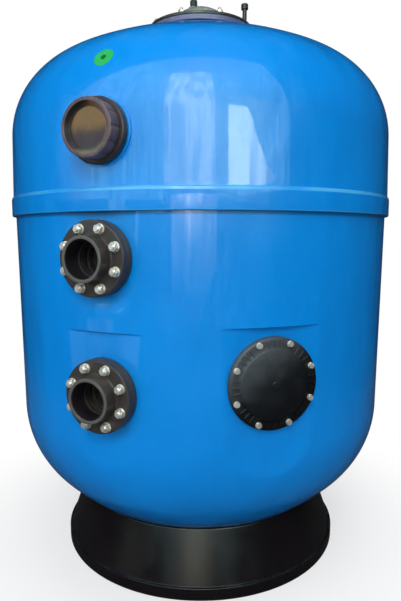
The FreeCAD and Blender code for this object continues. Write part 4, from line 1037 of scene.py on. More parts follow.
@dataclass
class Vessel:
    """The two glass-fibre shells: dished bottom, tapered wall with flats, belt, dished top and neck."""

    wall: float = 9.0
    lower_radius: float = 688.0
    lower_tangent: float = 572.95
    lower_knuckle: float = 373.0
    lower_crown: float = 807.0
    lower_crown_z: float = 871.5
    rim_radius: float = 697.0
    belt_low: float = 1257.95
    belt_radius: float = 710.0
    belt_top: float = 1324.95
    rim_top: float = 1317.95
    foot_radius: float = 704.0
    radius: float = 700.0
    tangent: float = 1527.95
    knuckle: float = 308.0
    crown: float = 1197.0
    crown_z: float = 730.04
    neck_radius: float = 162.0
    neck_bore: float = 150.0
    neck_fillet: float = 14.0
    flange_radius: float = 199.0
    flange_low: float = 1941.04
    flange_top: float = 1958.04
    glass_boss: float = 97.0
    glass_face: float = 704.0
    boss_depth: float = 21.0
    glass_hole: float = 64.4
    port_hole: float = 58.0
    manhole_hole: float = 102.0
    manhole_pins: tuple[float, float] = (126.0, 5.5)
    ledge: float = 5.0
    flats_from: float = 430.0
    fine_columns: tuple[float, float, int] = (-44.0, 0.45, 181)
    coarse_columns: int = 124
    inside_middle: float = 950.0
    inside_reach: float = 693.0
    neck_root: float = 1912.04
    disc_azimuth: float = -24.4
    disc_reach: float = 656.7
    disc_height: float = 1685.4
    flats: tuple[Flat, ...] = (
        Flat(INLET_SEAT.azimuth, 685.0, 984.95, 1317.95, 60.0),
        Flat(OUTLET_SEAT.azimuth, 680.0, 469.95, 908.95),
        Flat(MANHOLE_SEAT.azimuth, 675.0, 429.95, 928.45),
    )

    def lower_radius_at(self, height: float, inset: float) -> float:
        """Return the turned radius of the lower shell, before its flats.

        Args:
            height: height of the point.
            inset: how far in from the outside it is.

        Returns:
            The radius.
        """
        if height >= self.belt_low:
            return self.rim_radius - inset
        if height >= self.lower_tangent:
            share = (height - self.lower_tangent) / (self.belt_low - self.lower_tangent)
            return self.lower_radius + share * (self.rim_radius - self.lower_radius) - inset
        reach = self.lower_knuckle - inset
        drop = self.lower_tangent - height
        return self.lower_radius - self.lower_knuckle + math.sqrt(max(reach**2 - drop**2, 0.0))

    def with_flats(self, azimuth: float, height: float, inset: float) -> float:
        """Return the lower shell's radius with its flats let in softly.

        Args:
            azimuth: azimuth of the point in degrees.
            height: height of the point.
            inset: how far in from the outside it is.

        Returns:
            The radius.
        """
        radius = self.lower_radius_at(height, inset)
        soft, widest = 1.8, 1.0
        for flat in self.flats:
            off = math.radians(azimuth - flat.azimuth)
            if abs(off) > widest or not flat.low - flat.low_ledge < height < flat.high + self.ledge:
                continue
            face = (flat.face - inset) / math.cos(off)
            blend = min(max(0.5 + 0.5 * (face - radius) / soft, 0.0), 1.0)
            let_in = face + blend * (radius - face) - soft * blend * (1.0 - blend)
            top = min(max((flat.high + self.ledge / 2 - height) / self.ledge, 0.0), 1.0)
            if flat.high > self.belt_low <= height:
                top = 1.0
            foot = min(max((height - flat.low + flat.low_ledge / 2) / flat.low_ledge, 0.0), 1.0)
            share = min(top, foot)
            share = share * share * (3.0 - 2.0 * share)
            radius += share * (let_in - radius)
        return radius

    def columns(self) -> list[float]:
        """Space the columns of the lower shell's mesh, closer together across its flats.

        Returns:
            Their azimuths in degrees.
        """
        start, step, count = self.fine_columns
        fine = [start + step * index for index in range(count)]
        end, rest = fine[-1], self.coarse_columns
        return fine + [end + (360.0 + start - end) * index / rest for index in range(1, rest)]

    def rows(self, spacing: float) -> list[float]:
        """Return the heights of the wall's rows, closer together at the flats' upper ledges.

        Args:
            spacing: distance between rows elsewhere.

        Returns:
            The heights, from low to high.
        """
        heights = {self.belt_low - 0.5, self.rim_top}
        height = self.lower_tangent
        while height < self.belt_low:
            heights.add(round(height, 3))
            height += spacing
        for flat in self.flats:
            if flat.high < self.belt_low:
                steps = (-6, -2.6, -1.6, -0.8, 0, 0.8, 1.6, 2.6, 6)
                heights.update(round(flat.high + step, 3) for step in steps)
        return sorted(heights)

    def lower_skin(
        self, inset: float, knuckle_steps: int, spacing: float, crown_steps: int = 14
    ) -> list[list[Point]]:
        """Return one side of the lower shell.

        Args:
            inset: how far in from the outside it is.
            knuckle_steps: parts of its knuckle.
            spacing: distance between the wall's rows.
            crown_steps: parts of its crown.

        Returns:
            Its rings of points, from the bottom to the rim.
        """
        crown, reach = self.lower_crown - inset, self.lower_knuckle - inset
        centre = self.lower_radius - self.lower_knuckle
        end = math.degrees(math.asin(centre / (self.lower_crown - self.lower_knuckle)))
        rings = []
        for step in range(1, crown_steps + 1):
            angle = math.radians(end * step / crown_steps)
            rings.append((crown * math.sin(angle), self.lower_crown_z - crown * math.cos(angle)))
        for step in range(1, knuckle_steps):
            angle = math.radians(-90 + end + (90 - end) * step / knuckle_steps)
            rings.append((centre + reach * math.cos(angle), self.lower_tangent + reach * math.sin(angle)))
        rings += [(self.lower_radius_at(height, inset), height) for height in self.rows(spacing)]
        result = []
        for radius, height in rings:
            ring = []
            for azimuth in self.columns():
                let_in = self.with_flats(azimuth, height, inset) if height > self.flats_from else radius
                out, turn = min(radius, let_in), math.radians(azimuth)
                ring.append((out * math.sin(turn), -out * math.cos(turn), height))
            result.append(ring)
        return result

    def make_lower(self) -> bpy.types.Object:
        """Make the lower shell, outside and inside, with its openings and bolt holes.

        Returns:
            The shell.
        """
        rings = self.lower_skin(0.0, 26, 15.0) + self.lower_skin(self.wall, 14, 40.0)[::-1]
        count = len(rings[0])
        bottom = self.lower_crown_z - self.lower_crown
        poles = [(0.0, 0.0, bottom), (0.0, 0.0, bottom + self.wall)]
        verts = [*(point for ring in rings for point in ring), *poles]
        order = [range(low, low + count) for low in range(0, len(rings) * count, count)]
        first, last = [len(verts) - 2] * count, [len(verts) - 1] * count
        shell = make_object("lower_shell_moulding", verts, bands([first, *order, last]), GELCOAT)
        tools = [rod(self.port_hole, 560, 760, seat) for seat in (INLET_SEAT, OUTLET_SEAT)]
        tools.append(rod(self.manhole_hole, 560, 760, MANHOLE_SEAT))
        around, pin = self.manhole_pins
        tools.append(Circle(around, seat=MANHOLE_SEAT).holes(pin, 600, 760))
        combined(shell, tools)
        dress_faces(shell, [LAMINATE_INSIDE], self.inward)
        return shell

    def inward(self, middle: Vector, normal: Vector) -> int:
        """Return slot 1, the bare laminate, for the faces that look inwards and 0 for the others.

        Args:
            middle: the face's middle.
            normal: its normal.

        Returns:
            The slot.
        """
        way = Vector((0.0, 0.0, self.inside_middle)) - middle
        way.z *= 0.35
        return int(normal.dot(way) > 0 and middle.xy.length < self.inside_reach)

    def upper_outline(self) -> Outline:
        """Outline the upper shell: belt, wall, knuckle, crown, neck and inside.

        Returns:
            The closed outline.
        """
        start = 90.0 - math.degrees(math.asin((self.radius - self.knuckle) / (self.crown - self.knuckle)))
        foot_of_neck = self.neck_radius + self.neck_fillet
        neck = math.degrees(math.acos(foot_of_neck / self.crown))
        inner_crown, inner_knuckle = self.crown - self.wall, self.knuckle - self.wall
        inner_neck = math.degrees(math.acos(self.neck_bore / inner_crown))
        lap = self.rim_radius + 3.0
        belt = [
            (self.belt_radius, self.belt_low, 4.0),
            (self.belt_radius, self.belt_top - 11.0, 6.0),
            (self.belt_radius - 2.2, self.belt_top - 3.0, 4.0),
            (self.foot_radius, self.belt_top, 2.0),
            (self.radius, self.tangent, 0),
            (lap, self.belt_low, 0),
        ]
        outline = softened(belt)[:-2]
        for step in range(1, 14):
            share = step / 14
            radius = self.foot_radius + (self.radius - self.foot_radius) * share
            outline.append((radius, self.belt_top + (self.tangent - self.belt_top) * share))
        outline += arc(self.radius - self.knuckle, self.tangent, self.knuckle, 0.0, start, 34)
        outline += arc(0.0, self.crown_z, self.crown, start, neck, 26)[1:]
        foot = self.crown_z + math.sqrt(self.crown**2 - self.neck_radius**2)
        outline += arc(foot_of_neck, foot + self.neck_fillet - 1.0, self.neck_fillet, -105.0, -180.0, 6)[1:]
        flange = [
            (self.neck_radius, foot + self.neck_fillet, 0),
            (self.neck_radius, self.flange_low, 3.0),
            (self.flange_radius, self.flange_low, 2.0),
            (self.flange_radius, self.flange_top, 2.0),
            (self.neck_bore, self.flange_top, 1.0),
            (self.neck_bore, foot, 0),
        ]
        outline += softened(flange)[:-1]
        outline += arc(0.0, self.crown_z, inner_crown, inner_neck, start, 14)
        outline += arc(self.radius - self.knuckle, self.tangent, inner_knuckle, start, 0.0, 16)[1:]
        inside = self.rim_top + 3.0
        return outline + [(self.foot_radius - self.wall, inside), (lap, inside), (lap, self.belt_low)]

    def make_upper(self) -> bpy.types.Object:
        """Make the upper shell with its belt, neck flange and the boss of the sight glass.

        Returns:
            The shell.
        """
        shell = lathe("upper_shell_moulding", self.upper_outline(), GELCOAT, segments=288)
        back, face = self.glass_face - self.boss_depth, self.glass_face
        corners = [(0, back, 0), (self.glass_boss, back, 0), (self.glass_boss, face, 3.0), (0, face, 0)]
        combined(shell, [turned("boss", corners, GELCOAT, GLASS_SEAT, 128)], "UNION")
        combined(shell, [rod(self.glass_hole, 560, 760, GLASS_SEAT)])

        def choose(middle: Vector, normal: Vector) -> int:
            """Choose the flange's lilac-grey finish, the neck's painted shade, or what looks inwards.

            Args:
                middle: the face's middle.
                normal: its normal.

            Returns:
                The slot.
            """
            reach = middle.xy.length
            if reach > self.neck_radius + 8.0 and middle.z > self.flange_low - 0.5:
                return 2
            if self.neck_radius - 1.0 < reach < self.flange_radius and middle.z > self.neck_root:
                return 3
            return self.inward(middle, normal)

        dress_faces(shell, [LAMINATE_INSIDE, FLANGE_EDGE, NECK_ROOT], choose)
        return shell

    def surface_point(self, point: Vector, lift: float) -> Vector:
        """Return the nearest point of the upper head's outside.

        Args:
            point: a point near it.
            lift: how far the result is lifted off it.

        Returns:
            The point.
        """
        across = Vector((point.x, point.y, 0.0))
        slope = math.atan2(point.z - self.crown_z, across.length)
        if slope >= math.acos((self.radius - self.knuckle) / (self.crown - self.knuckle)):
            centre, radius = (0.0, self.crown_z), self.crown
        else:
            centre, radius = (self.radius - self.knuckle, self.tangent), self.knuckle
        away = Vector((across.length - centre[0], point.z - centre[1])).normalized() * (radius + lift)
        return across.normalized() * (centre[0] + away.x) + Vector((0.0, 0.0, centre[1] + away.y))

    def make_disc(
        self, name: str, radius: float, low: float, high: float, finish: Finish
    ) -> bpy.types.Object:
        """Make one round film that follows the shoulder.

        Args:
            name: name of the piece.
            radius: its radius.
            low: lift of its back off the shoulder.
            high: lift of its front.
            finish: its finish.

        Returns:
            The piece.
        """
        azimuth, reach, segments = math.radians(self.disc_azimuth), self.disc_reach, 48
        middle = Vector((math.sin(azimuth) * reach, -math.cos(azimuth) * reach, self.disc_height))
        side = Vector((math.cos(azimuth), math.sin(azimuth), 0.0))
        out = Vector((middle.x, middle.y, 0)).normalized()
        up = (Vector((0, 0, 1)) - out * 0.55).normalized()
        verts: list = []
        levels = [(0.0, low), (1.0, low), (1.0, high), (0.66, high), (0.33, high), (0.0, high)]
        for share, lift in levels:
            for index in range(segments):
                angle, ring = 2 * math.pi * index / segments, radius * share
                point = middle + side * (ring * math.cos(angle)) + up * (ring * math.sin(angle))
                verts.append(self.surface_point(point, lift))
        rings = [range(base, base + segments) for base in range(0, len(verts), segments)]
        return make_object(name, verts, bands(rings), finish)

    def build(self) -> None:
        """Make and place the shells and the green disc with the darker dot at its middle."""
        place_piece(self.make_lower(), Body.VESSEL, ["lower_shell"])
        place_piece(self.make_upper(), Body.VESSEL, ["upper_shell"])
        discs = [self.make_disc("shoulder_disc", 31.0, -0.4, 0.35, DISC_GREEN)]
        discs.append(self.make_disc("shoulder_disc_dot", 8.5, 0.2, 0.6, DISC_DOT))
        for disc in discs:
            place_piece(disc, Body.VESSEL, [])


@dataclass
class Plinth:
    """Black moulded plinth under the dished bottom."""

    radius: float = 539.0
    foot: float = 42.0
    step: float = 8.0
    top_radius: float = 471.0
    lip: float = 41.0
    wall: float = 8.0
    lip_thickness: float = 12.0
    crown: float = 807.0
    crown_z: float = 871.5

    def seat_height(self, radius: float) -> float:
        """Return the height of the vessel's bottom at a radius."""
        return self.crown_z - math.sqrt(self.crown**2 - radius**2)

    def build(self) -> None:
        """Make and place the plinth."""
        shoulder = self.radius - self.step
        lip_inner = self.top_radius - self.lip
        under = self.seat_height(lip_inner) - self.lip_thickness
        seat_top = self.seat_height(self.top_radius)
        taper = (shoulder - self.top_radius) * (seat_top - under) / (seat_top - self.foot)
        corners = [
            (self.radius, 0.0, 4.0),
            (self.radius, self.foot, 3.5),
            (shoulder, self.foot + self.step / 4, 3.0),
            (self.top_radius, seat_top, 6.0),
            (lip_inner, self.seat_height(lip_inner), 1.0),
            (lip_inner, under, 2.0),
            (self.top_radius + taper - self.wall, under, 8.0),
            (shoulder - self.wall, self.foot, 0),
            (shoulder - self.wall, 0.0, 2.0),
        ]
        piece = turned("plinth_moulding", corners, PLINTH_BLACK, segments=256)
        place_piece(piece, Body.VESSEL, ["base_plinth"])


@dataclass
class Port:
    """One flanged port: the flange on the wall, the socket flange before it, and its fasteners."""

    name: str
    seat: Seat
    flat: float
    shell: float = 9.0
    flange_radius: float = 110.0
    bore: float = 50.0
    wall_flange: float = 18.0
    seal: float = 3.0
    flange: float = 22.0
    collar_radius: float = 66.0
    collar: float = 45.0
    socket_radius: float = 55.0
    socket: float = 61.0
    bolt_circle: float = 90.0
    bolt_radius: float = 8.0
    nut_flats: float = 24.0
    nut: float = 13.0
    head: float = 10.0
    thread: float = 26.0
    washer_radius: float = 15.0
    washer: float = 3.0
    over: float = 5.0
    loose: float = 55.0
    seed: int = 3

    def make_flanges(self) -> list[tuple[bpy.types.Object, str]]:
        """Make the two flanges.

        Returns:
            Each flange with the CAD node it stands for.
        """
        back = self.flat + self.seal
        face = back + self.wall_flange
        socket_back = face + self.seal
        socket_face = socket_back + self.flange
        mouth = socket_face + self.collar
        corners = [
            (self.bore, back, 1.0),
            (self.flange_radius, back, 1.5),
            (self.flange_radius, face, 2.5),
            (self.bore, face, 1.0),
        ]
        plate = turned(f"{self.name}_wall_plate", corners, PVC_DARK, self.seat, 128)
        corners = [
            (self.bore, socket_back, 1.0),
            (self.flange_radius, socket_back, 1.5),
            (self.flange_radius, socket_face - 1.0, 4.0),
            (self.flange_radius - 7.0, socket_face, 3.0),
            (self.collar_radius + 5.0, socket_face, 4.0),
            (self.collar_radius + 1.5, socket_face + 6.0, 4.0),
            (self.collar_radius, mouth - 12.0, 2.0),
            (self.collar_radius, mouth, 3.0),
            (self.socket_radius + 1.5, mouth, 1.5),
            (self.socket_radius, mouth - 4.0, 2.0),
            (self.socket_radius, mouth - self.socket, 1.0),
            (self.bore, mouth - self.socket, 1.0),
        ]
        collar = turned(f"{self.name}_socket", corners, PVC_DARK, self.seat, 128)

        def choose(middle: Vector, normal: Vector) -> int:
            """Choose the bore's finish in painted shade, the cut face's at the mouth, or the flange's.

            Args:
                middle: the face's middle.
                normal: its normal; not used.

            Returns:
                The slot.
            """
            if middle.xy.length < self.socket_radius + 0.4 and middle.z < mouth - 3.5:
                return 1
            return 2 if middle.z > mouth - 1.2 else 0

        dress_faces(collar, [PVC_BORE, PVC_CUT], choose, self.seat)
        return [(plate, f"{self.name}_wall_flange"), (collar, f"{self.name}_socket_flange")]

    def make_fasteners(self) -> list[tuple[bpy.types.Object, str]]:
        """Make the washers, nuts and bolts.

        Returns:
            Each set with the CAD node it stands for.
        """
        socket_face = self.flat + 2 * self.seal + self.wall_flange + self.flange
        nut_low = socket_face + self.washer
        inner = self.flat - self.shell - self.seal - self.wall_flange
        end, head = nut_low + self.nut + self.over, (inner - self.head - 0.2, self.head)
        washer = washer_form(self.bolt_radius, self.washer_radius, socket_face, nut_low, 0.6, 36)
        nut = nut_form(self.nut_flats, nut_low, self.nut, self.bolt_radius)
        bolt = bolt_form(self.bolt_radius, inner, end, self.thread, self.nut_flats, head)
        circle = Circle(self.bolt_circle, seat=self.seat)
        made = []
        sets = ((washer, "washers", 0.0), (nut, "nuts", self.loose), (bolt, "bolts", self.loose))
        for item, node, loose in sets:
            piece = circle.repeat(f"{self.name}_{node}_set", item, STAINLESS, loose, self.seed)
            made.append((piece, f"{self.name}_{node}"))
        return made

    def build(self) -> None:
        """Make and place the port's pieces."""
        for piece, node in self.make_flanges():
            place_piece(piece, Body.VESSEL, [node])
        for piece, node in self.make_fasteners():
            place_piece(piece, Body.VESSEL, [node])


@dataclass
class SightGlass:
    """Sight glass: a body through the wall, a screwed ring with grip notches, and the window."""

    boss_face: float = 704.0
    bore: float = 50.0
    stem: float = 64.0
    body: float = 91.0
    body_depth: float = 20.0
    tail_depth: float = 54.0
    collar: float = 70.0
    collar_depth: float = 16.0
    ring: float = 79.5
    ring_depth: float = 44.0
    throat: float = 56.0
    window: float = 62.0
    window_depth: float = 10.0
    seal: float = 3.0
    notches: int = 12
    notch_depth: float = 2.2
    notch_half: float = 5.5

    def notched(self, angle: float, radius: float, along: float) -> float:
        """Let the grip notches into the ring's outside.

        Args:
            angle: angle of the point.
            radius: its radius.
            along: its place along the axis; not used.

        Returns:
            Its new radius.
        """
        if radius < self.ring - 3.5:
            return radius
        half = math.pi / self.notches
        off = abs((angle + half) % (2 * half) - half) * self.ring
        return min(radius, self.ring - self.notch_depth * max(0.0, 1.0 - (off / self.notch_half) ** 2))

    def make_ring(self, front: float) -> bpy.types.Object:
        """Make the ring.

        Args:
            front: distance of the body's front face.

        Returns:
            The ring.
        """
        low, high = front + 1.0, front + self.ring_depth
        throat = front + self.collar_depth + self.seal + self.window_depth + 0.4
        corners = [
            (self.collar + 0.4, low, 0.5),
            (self.ring, low, 1.0),
            (self.ring, high - 2.0, 5.0),
            (self.ring - 3.5, high, 2.0),
            (self.collar - 0.5, high, 2.0),
            (self.throat, throat, 1.0),
            (self.collar + 0.4, throat, 0),
        ]
        ring = turned("sight_glass_retainer", corners, GLASS_RING, GLASS_SEAT, 240, self.notched)

        def choose(middle: Vector, normal: Vector) -> int:
            """Choose the throat's finish, with its painted light and shade, inside the ring's mouth."""
            return int(middle.xy.length < self.collar - 0.5 and middle.z < high - 1.2)

        dress_faces(ring, [RING_THROAT], choose, GLASS_SEAT)
        return ring

    def build(self) -> None:
        """Make and place the body, the ring and the window."""
        back = self.boss_face + self.seal
        front, tail = back + self.body_depth, self.boss_face - self.tail_depth
        nose = front + self.collar_depth
        corners = [
            (self.bore, tail, 1.0),
            (self.stem, tail, 1.5),
            (self.stem, back, 0),
            (self.body, back, 2.0),
            (self.body, front - 3.0, 6.0),
            (self.body - 5.0, front, 3.0),
            (self.collar, front, 1.0),
            (self.collar, nose, 1.0),
            (self.bore, nose, 1.0),
        ]
        body = turned("sight_glass_housing", corners, GLASS_BODY, GLASS_SEAT, 128)
        place_piece(body, Body.VESSEL, ["sight_glass_body"])
        place_piece(self.make_ring(front), Body.WINDOW_RING, ["sight_glass_ring"])
        low, high = nose + self.seal, nose + self.seal + self.window_depth
        corners = [(0, low, 0), (self.window, low, 0.8), (self.window, high, 0.8), (0, high, 0)]
        window = turned("sight_window_disc", corners, WINDOW_AMBER, GLASS_SEAT)
        place_piece(window, Body.WINDOW, ["sight_window"])


@dataclass
class Manhole:
    """Side manhole: the black cover with its raised disc and ribs, its bolts and washers."""

    back: float = 679.0
    rim: float = 695.0
    disc: float = 704.0
    cover_radius: float = 139.0
    disc_radius: float = 109.0
    swell: float = 5.0
    spigot: tuple[float, float, float] = (90.5, 100.5, 22.0)
    button: float = 12.0
    bolt_circle: float = 126.0
    bolt_radius: float = 5.0
    bolt_hole: float = 5.5
    bolt_end: float = 648.0
    washer_radius: float = 9.5
    washer: float = 2.0
    head_flats: float = 16.0
    head: float = 6.5
    loose: float = 55.0
    seed: int = 8
    rib_half: float = 2.5

    def make_cover(self) -> bpy.types.Object:
        """Make the cover with its domed disc, button, spigot and bolt holes.

        Returns:
            The cover.
        """
        reach = self.disc_radius - 9.0
        dome = ((self.disc_radius - 6.0) ** 2 + self.swell**2) / (2 * self.swell)
        centre = self.disc + self.swell - dome
        crown = []
        for step in range(1, 9):
            radius = reach - (reach - self.button - 4.0) * step / 8
            crown.append((radius, centre + math.sqrt(dome**2 - radius**2), 0))
        inner, outer, depth = self.spigot
        top = self.disc + self.swell
        corners = [
            (0, self.back, 0),
            (inner, self.back, 2.0),
            (inner, self.back - depth, 1.5),
            (outer, self.back - depth, 1.5),
            (outer, self.back, 1.0),
            (self.cover_radius, self.back, 1.5),
            (self.cover_radius, self.rim - 4.0, 6.0),
            (self.cover_radius - 7.0, self.rim, 4.0),
            (self.disc_radius + 2.0, self.rim, 3.0),
            (self.disc_radius - 3.0, self.disc - 1.0, 4.0),
            *crown,
            (self.button, top, 2.0),
            (self.button, top + 3.0, 1.5),
            (0, top + 3.0, 0),
        ]
        cover = turned("side_cover_moulding", corners, COVER_BLACK, MANHOLE_SEAT, 144)
        combined(cover, [Circle(self.bolt_circle, seat=MANHOLE_SEAT).holes(self.bolt_hole, 670, 720)])
        return cover

    def make_rib(self) -> bpy.types.Object:
        """Make one rounded rib that runs from the disc to the cover's edge.

        Returns:
            The rib, along the X axis.
        """
        low, high, half, soft = self.rim - 1.0, self.rim + 4.5, self.rib_half, 1.2
        near, far = self.disc_radius - 4.0, self.cover_radius - 8.0
        verts = []
        for along, top in ((near, high + 1.5), (far - 3.0, high), (far, low + 1.5)):
            side = [(-half, low), (-half, top - soft), (-half + soft, top)]
            verts += [(along, *point) for point in side]
            verts += [(along, -across, up) for across, up in side[::-1]]
        start, middle, end = (range(level, level + 6) for level in (0, 6, 12))
        faces = [tuple(start), tuple(end)[::-1], *bands([start, middle, end])]
        return make_object("rib", verts, faces, COVER_BLACK)

    def build(self) -> None:
        """Make and place the cover, its ribs, washers and bolts."""
        cover = self.make_cover()
        ribs = Circle(0.0, 3, -9.0, 9.0).repeat("rib_group", self.make_rib(), COVER_BLACK)
        ribs = Circle(0.0, 8, 0.0, 45.0, MANHOLE_SEAT).repeat("side_cover_ribs", ribs, COVER_BLACK)
        place_piece(cover, Body.SIDE_COVER, ["manhole_cover"])
        place_piece(ribs, Body.SIDE_COVER, [])
        circle, top = Circle(self.bolt_circle, seat=MANHOLE_SEAT), self.rim + self.washer
        washer = washer_form(self.bolt_radius, self.washer_radius, self.rim, top, 0.5, 32)
        washers = circle.repeat("side_cover_washers", washer, STAINLESS)
        place_piece(washers, Body.SIDE_COVER, ["manhole_washers"])
        head = (top, self.head)
        bolt = bolt_form(self.bolt_radius, self.bolt_end, top + 0.2, 1.5, self.head_flats, head)
        bolts = circle.repeat("side_cover_bolts", bolt, STAINLESS, self.loose, self.seed)
        place_piece(bolts, Body.SIDE_COVER, ["manhole_cover_bolts"])


@dataclass
class TopLid:
    """Clear lid on the neck, with its fasteners, the capped guide stud and the air bleed screw."""

    under: float = 1961.04
    rim: float = 10.0
    radius: float = 197.0
    spigot: tuple[float, float, float] = (141.2, 149.2, 14.0)
    dome_radius: float = 130.0
    dome_height: float = 80.0
    dome_wall: float = 8.0
    boss: float = 20.0
    stem_hole: float = 5.4
    bolt_hole: float = 6.5
    bolt_circle: float = 177.0
    bolt_radius: float = 6.0
    flange_under: float = 1941.04
    nut_flats: float = 19.0
    nut: float = 10.0
    head: float = 8.0
    washer_bore: float = 6.4
    washer_radius: float = 12.0
    washer: float = 2.5
    loose: float = 55.0
    seed: int = 5
    guide: float = -22.5
    guide_top: float = 2037.0
    cap: float = 13.0
    cap_neck: float = 8.0
    bleed_across: float = -26.0
    stem: float = 5.0
    knob: float = 14.0
    knob_height: float = 24.0
    flutes: int = 8

    @property
    def top(self) -> float:
        """Return the height of the lid's rim."""
        return self.under + self.rim

    @property
    def apex(self) -> float:
        """Return the height of the dome's top."""
        return self.top + self.dome_height

    def lid_outline(self) -> Outline:
        """Outline the lid: the hollow, the spigot, the rim and the dome.

        Returns:
            The closed outline.
        """
        sphere = (self.dome_radius**2 + self.dome_height**2) / (2 * self.dome_height)
        centre, inner = self.apex - sphere, sphere - self.dome_wall
        outer_start = math.degrees(math.asin((self.top - centre) / sphere))
        inner_start = math.degrees(math.asin((self.under - centre) / inner))
        dome = arc(0, centre, sphere, outer_start + 4.0, 90.0, 22)
        hollow = arc(0, centre, inner, 90.0, inner_start, 16)
        dome[-1], hollow[0] = (0.0, self.apex), (0.0, self.apex - self.dome_wall)
        near, far, depth = self.spigot
        base = [
            (near, self.under, 1.0),
            (near, self.under - depth, 1.0),
            (far, self.under - depth, 1.0),
            (far, self.under, 1.0),
            (self.radius, self.under, 1.5),
            (self.radius, self.top, 2.5),
            (self.dome_radius + 9.0, self.top, 5.0),
        ]
        return hollow + softened(base) + dome

    def make_lid(self) -> bpy.types.Object:
        """Make the lid with its holes and the bleed screw's boss.

        Returns:
            The lid.
        """
        lid = lathe("clear_lid", self.lid_outline(), LID_CLEAR, segments=160)
        across = Matrix.Translation((self.bleed_across * MM, 0, 0))
        low, high = self.apex - 13.0, self.apex + 5.0
        corners = [(0, low, 0), (self.boss, low, 0), (self.boss, high, 2.0), (0, high, 0)]
        boss = turned("boss", corners, LID_CLEAR, segments=48)
        stem = rod(self.stem_hole, 1900, 2100, segments=28)
        for item in (boss, stem):
            item.data.transform(across)
        combined(lid, [boss], "UNION")
        combined(lid, [stem, Circle(self.bolt_circle).holes(self.bolt_hole, 1900, 2000, 24)])
        edge = self.dome_radius + 3.0
        dress_faces(lid, [LID_RIM], lambda middle, normal: int(middle.xy.length > edge))
        return lid

    def build_fasteners(self) -> None:
        """Make and place the washers, nuts, bolts and the tall guide stud."""
        nut_low = self.top + self.washer
        circle = Circle(self.bolt_circle)
        washer = washer_form(self.washer_bore, self.washer_radius, self.top, nut_low, 0.5, 36)
        nut = nut_form(self.nut_flats, nut_low, self.nut, self.washer_bore)
        washers = circle.repeat("lid_washer_set", washer, STAINLESS)
        place_piece(washers, Body.LID, ["lid_washers"])
        nuts = circle.repeat("lid_nut_set", nut, STAINLESS, self.loose, self.seed)
        place_piece(nuts, Body.LID, ["lid_nuts"])
        head = (self.flange_under - self.head - 0.2, self.head)
        for name, node, count, first, end in (
            ("lid_bolt_set", "lid_bolts", 7, circle.first, nut_low + 17.0),
            ("tall_stud", "guide_stud", 1, self.guide, self.guide_top),
        ):
            thread = min(end - self.top + 4.0, 30.0)
            bolt = bolt_form(self.bolt_radius, self.flange_under, end, thread, self.nut_flats, head)
            piece = Circle(self.bolt_circle, count, first).repeat(name, bolt, STAINLESS, 40.0)
            place_piece(piece, Body.VESSEL, [node])

    def build_cap(self) -> None:
        """Make and place the cap of the tall stud."""
        low, step, top = self.top + 12.5, self.guide_top - 15.0, self.guide_top + 5.6
        corners = [
            (self.washer_bore, low, 0.4),
            (self.cap_neck, low, 1.0),
            (self.cap_neck, step, 1.0),
            (self.cap, step, 2.0),
            (self.cap, step + 20.0, 4.5),
            (0.0, top, 0),
            (0.0, top - 5.0, 0),
            (self.washer_bore, top - 5.0, 0),
        ]
        cap = turned("tall_stud_cap", corners, KNOB_BLACK, segments=48)
        turn = Matrix.Rotation(math.radians(self.guide), 4, "Z")
        place = turn @ Vector((self.bolt_circle * MM, 0.0, 0.0))
        cap.data.transform(Matrix.Translation(place))
        place_piece(cap, Body.LID, ["guide_stud_cap"])

    def build_knob(self) -> None:
        """Make and place the fluted knob of the air bleed screw."""
        low = self.apex + 7.0
        high = low + self.knob_height

        def fluted(angle: float, radius: float, along: float) -> float:
            """Let the flutes into the knob's outside.

            Args:
                angle: angle of the point.
                radius: its radius.
                along: its height.

            Returns:
                Its new radius.
            """
            if radius < self.knob - 3.0 or along < low + 3.0:
                return radius
            half = math.pi / self.flutes
            off = abs((angle + half) % (2 * half) - half) * self.knob
            return radius - 1.6 * max(0.0, 1.0 - (off / 2.6) ** 2)

        corners = [
            (0, low - 24.0, 0),
            (self.stem, low - 24.0, 1.0),
            (self.stem, low, 0),
            (self.knob, low, 1.5),
            (self.knob, low + 3.5, 0.5),
            (self.knob, high, 4.0),
            (0, high, 0),
        ]
        knob = turned("bleed_knob_moulding", corners, KNOB_BLACK, segments=128, ripple=fluted)
        knob.data.transform(Matrix.Translation((self.bleed_across * MM, 0, 0)))
        place_piece(knob, Body.BLEED_SCREW, ["bleed_knob"])

    def build(self) -> None:
        """Make and place the lid, its fasteners, the stud's cap and the knob."""
        place_piece(self.make_lid(), Body.LID, ["top_lid"])
        self.build_fasteners()
        self.build_cap()
        self.build_knob()


class InnerPieces:
    """Finishes of the CAD nodes that stay as they are."""

    finishes: dict[str, Finish] = {
        "laminate": LAMINATE_INSIDE,
        "pvc_dark": PVC_DARK,
        "pvc_pipe": PVC_PIPE,
        "collector_white": COLLECTOR_WHITE,
        "stainless": STAINLESS,
        "seal_rubber": SEAL_RUBBER,
        "cover_black": COVER_BLACK,
        "knob_black": KNOB_BLACK,
        "gelcoat_blue": GELCOAT,
        "plinth_black": PLINTH_BLACK,
        "lid_clear": LID_CLEAR,
        "window_amber": WINDOW_AMBER,
    }

    def build(self) -> None:
        """Dress every CAD node by the material slot that the record gives it."""
        slots = {part["node"]: part["material_slot"] for part in frame["record"]["subparts"]}
        for node, item in frame["nodes"].items():
            material = self.finishes[slots[node]].material()
            if not item.material_slots:
                item.data.materials.append(material)
            for slot in item.material_slots:
                slot.material = material
        LOG.info("%d CAD nodes dressed", len(frame["nodes"]))


Fade = Callable[[Wiring, bpy.types.NodeSocket], bpy.types.NodeSocket]


def wire_fade(axis: str, none: float, full: float) -> Fade:
    """Return a fade along one axis, between the place with no light and the one with all of it."""
    return lambda wire, place: wire.between(wire.axis(place, axis), none, full)


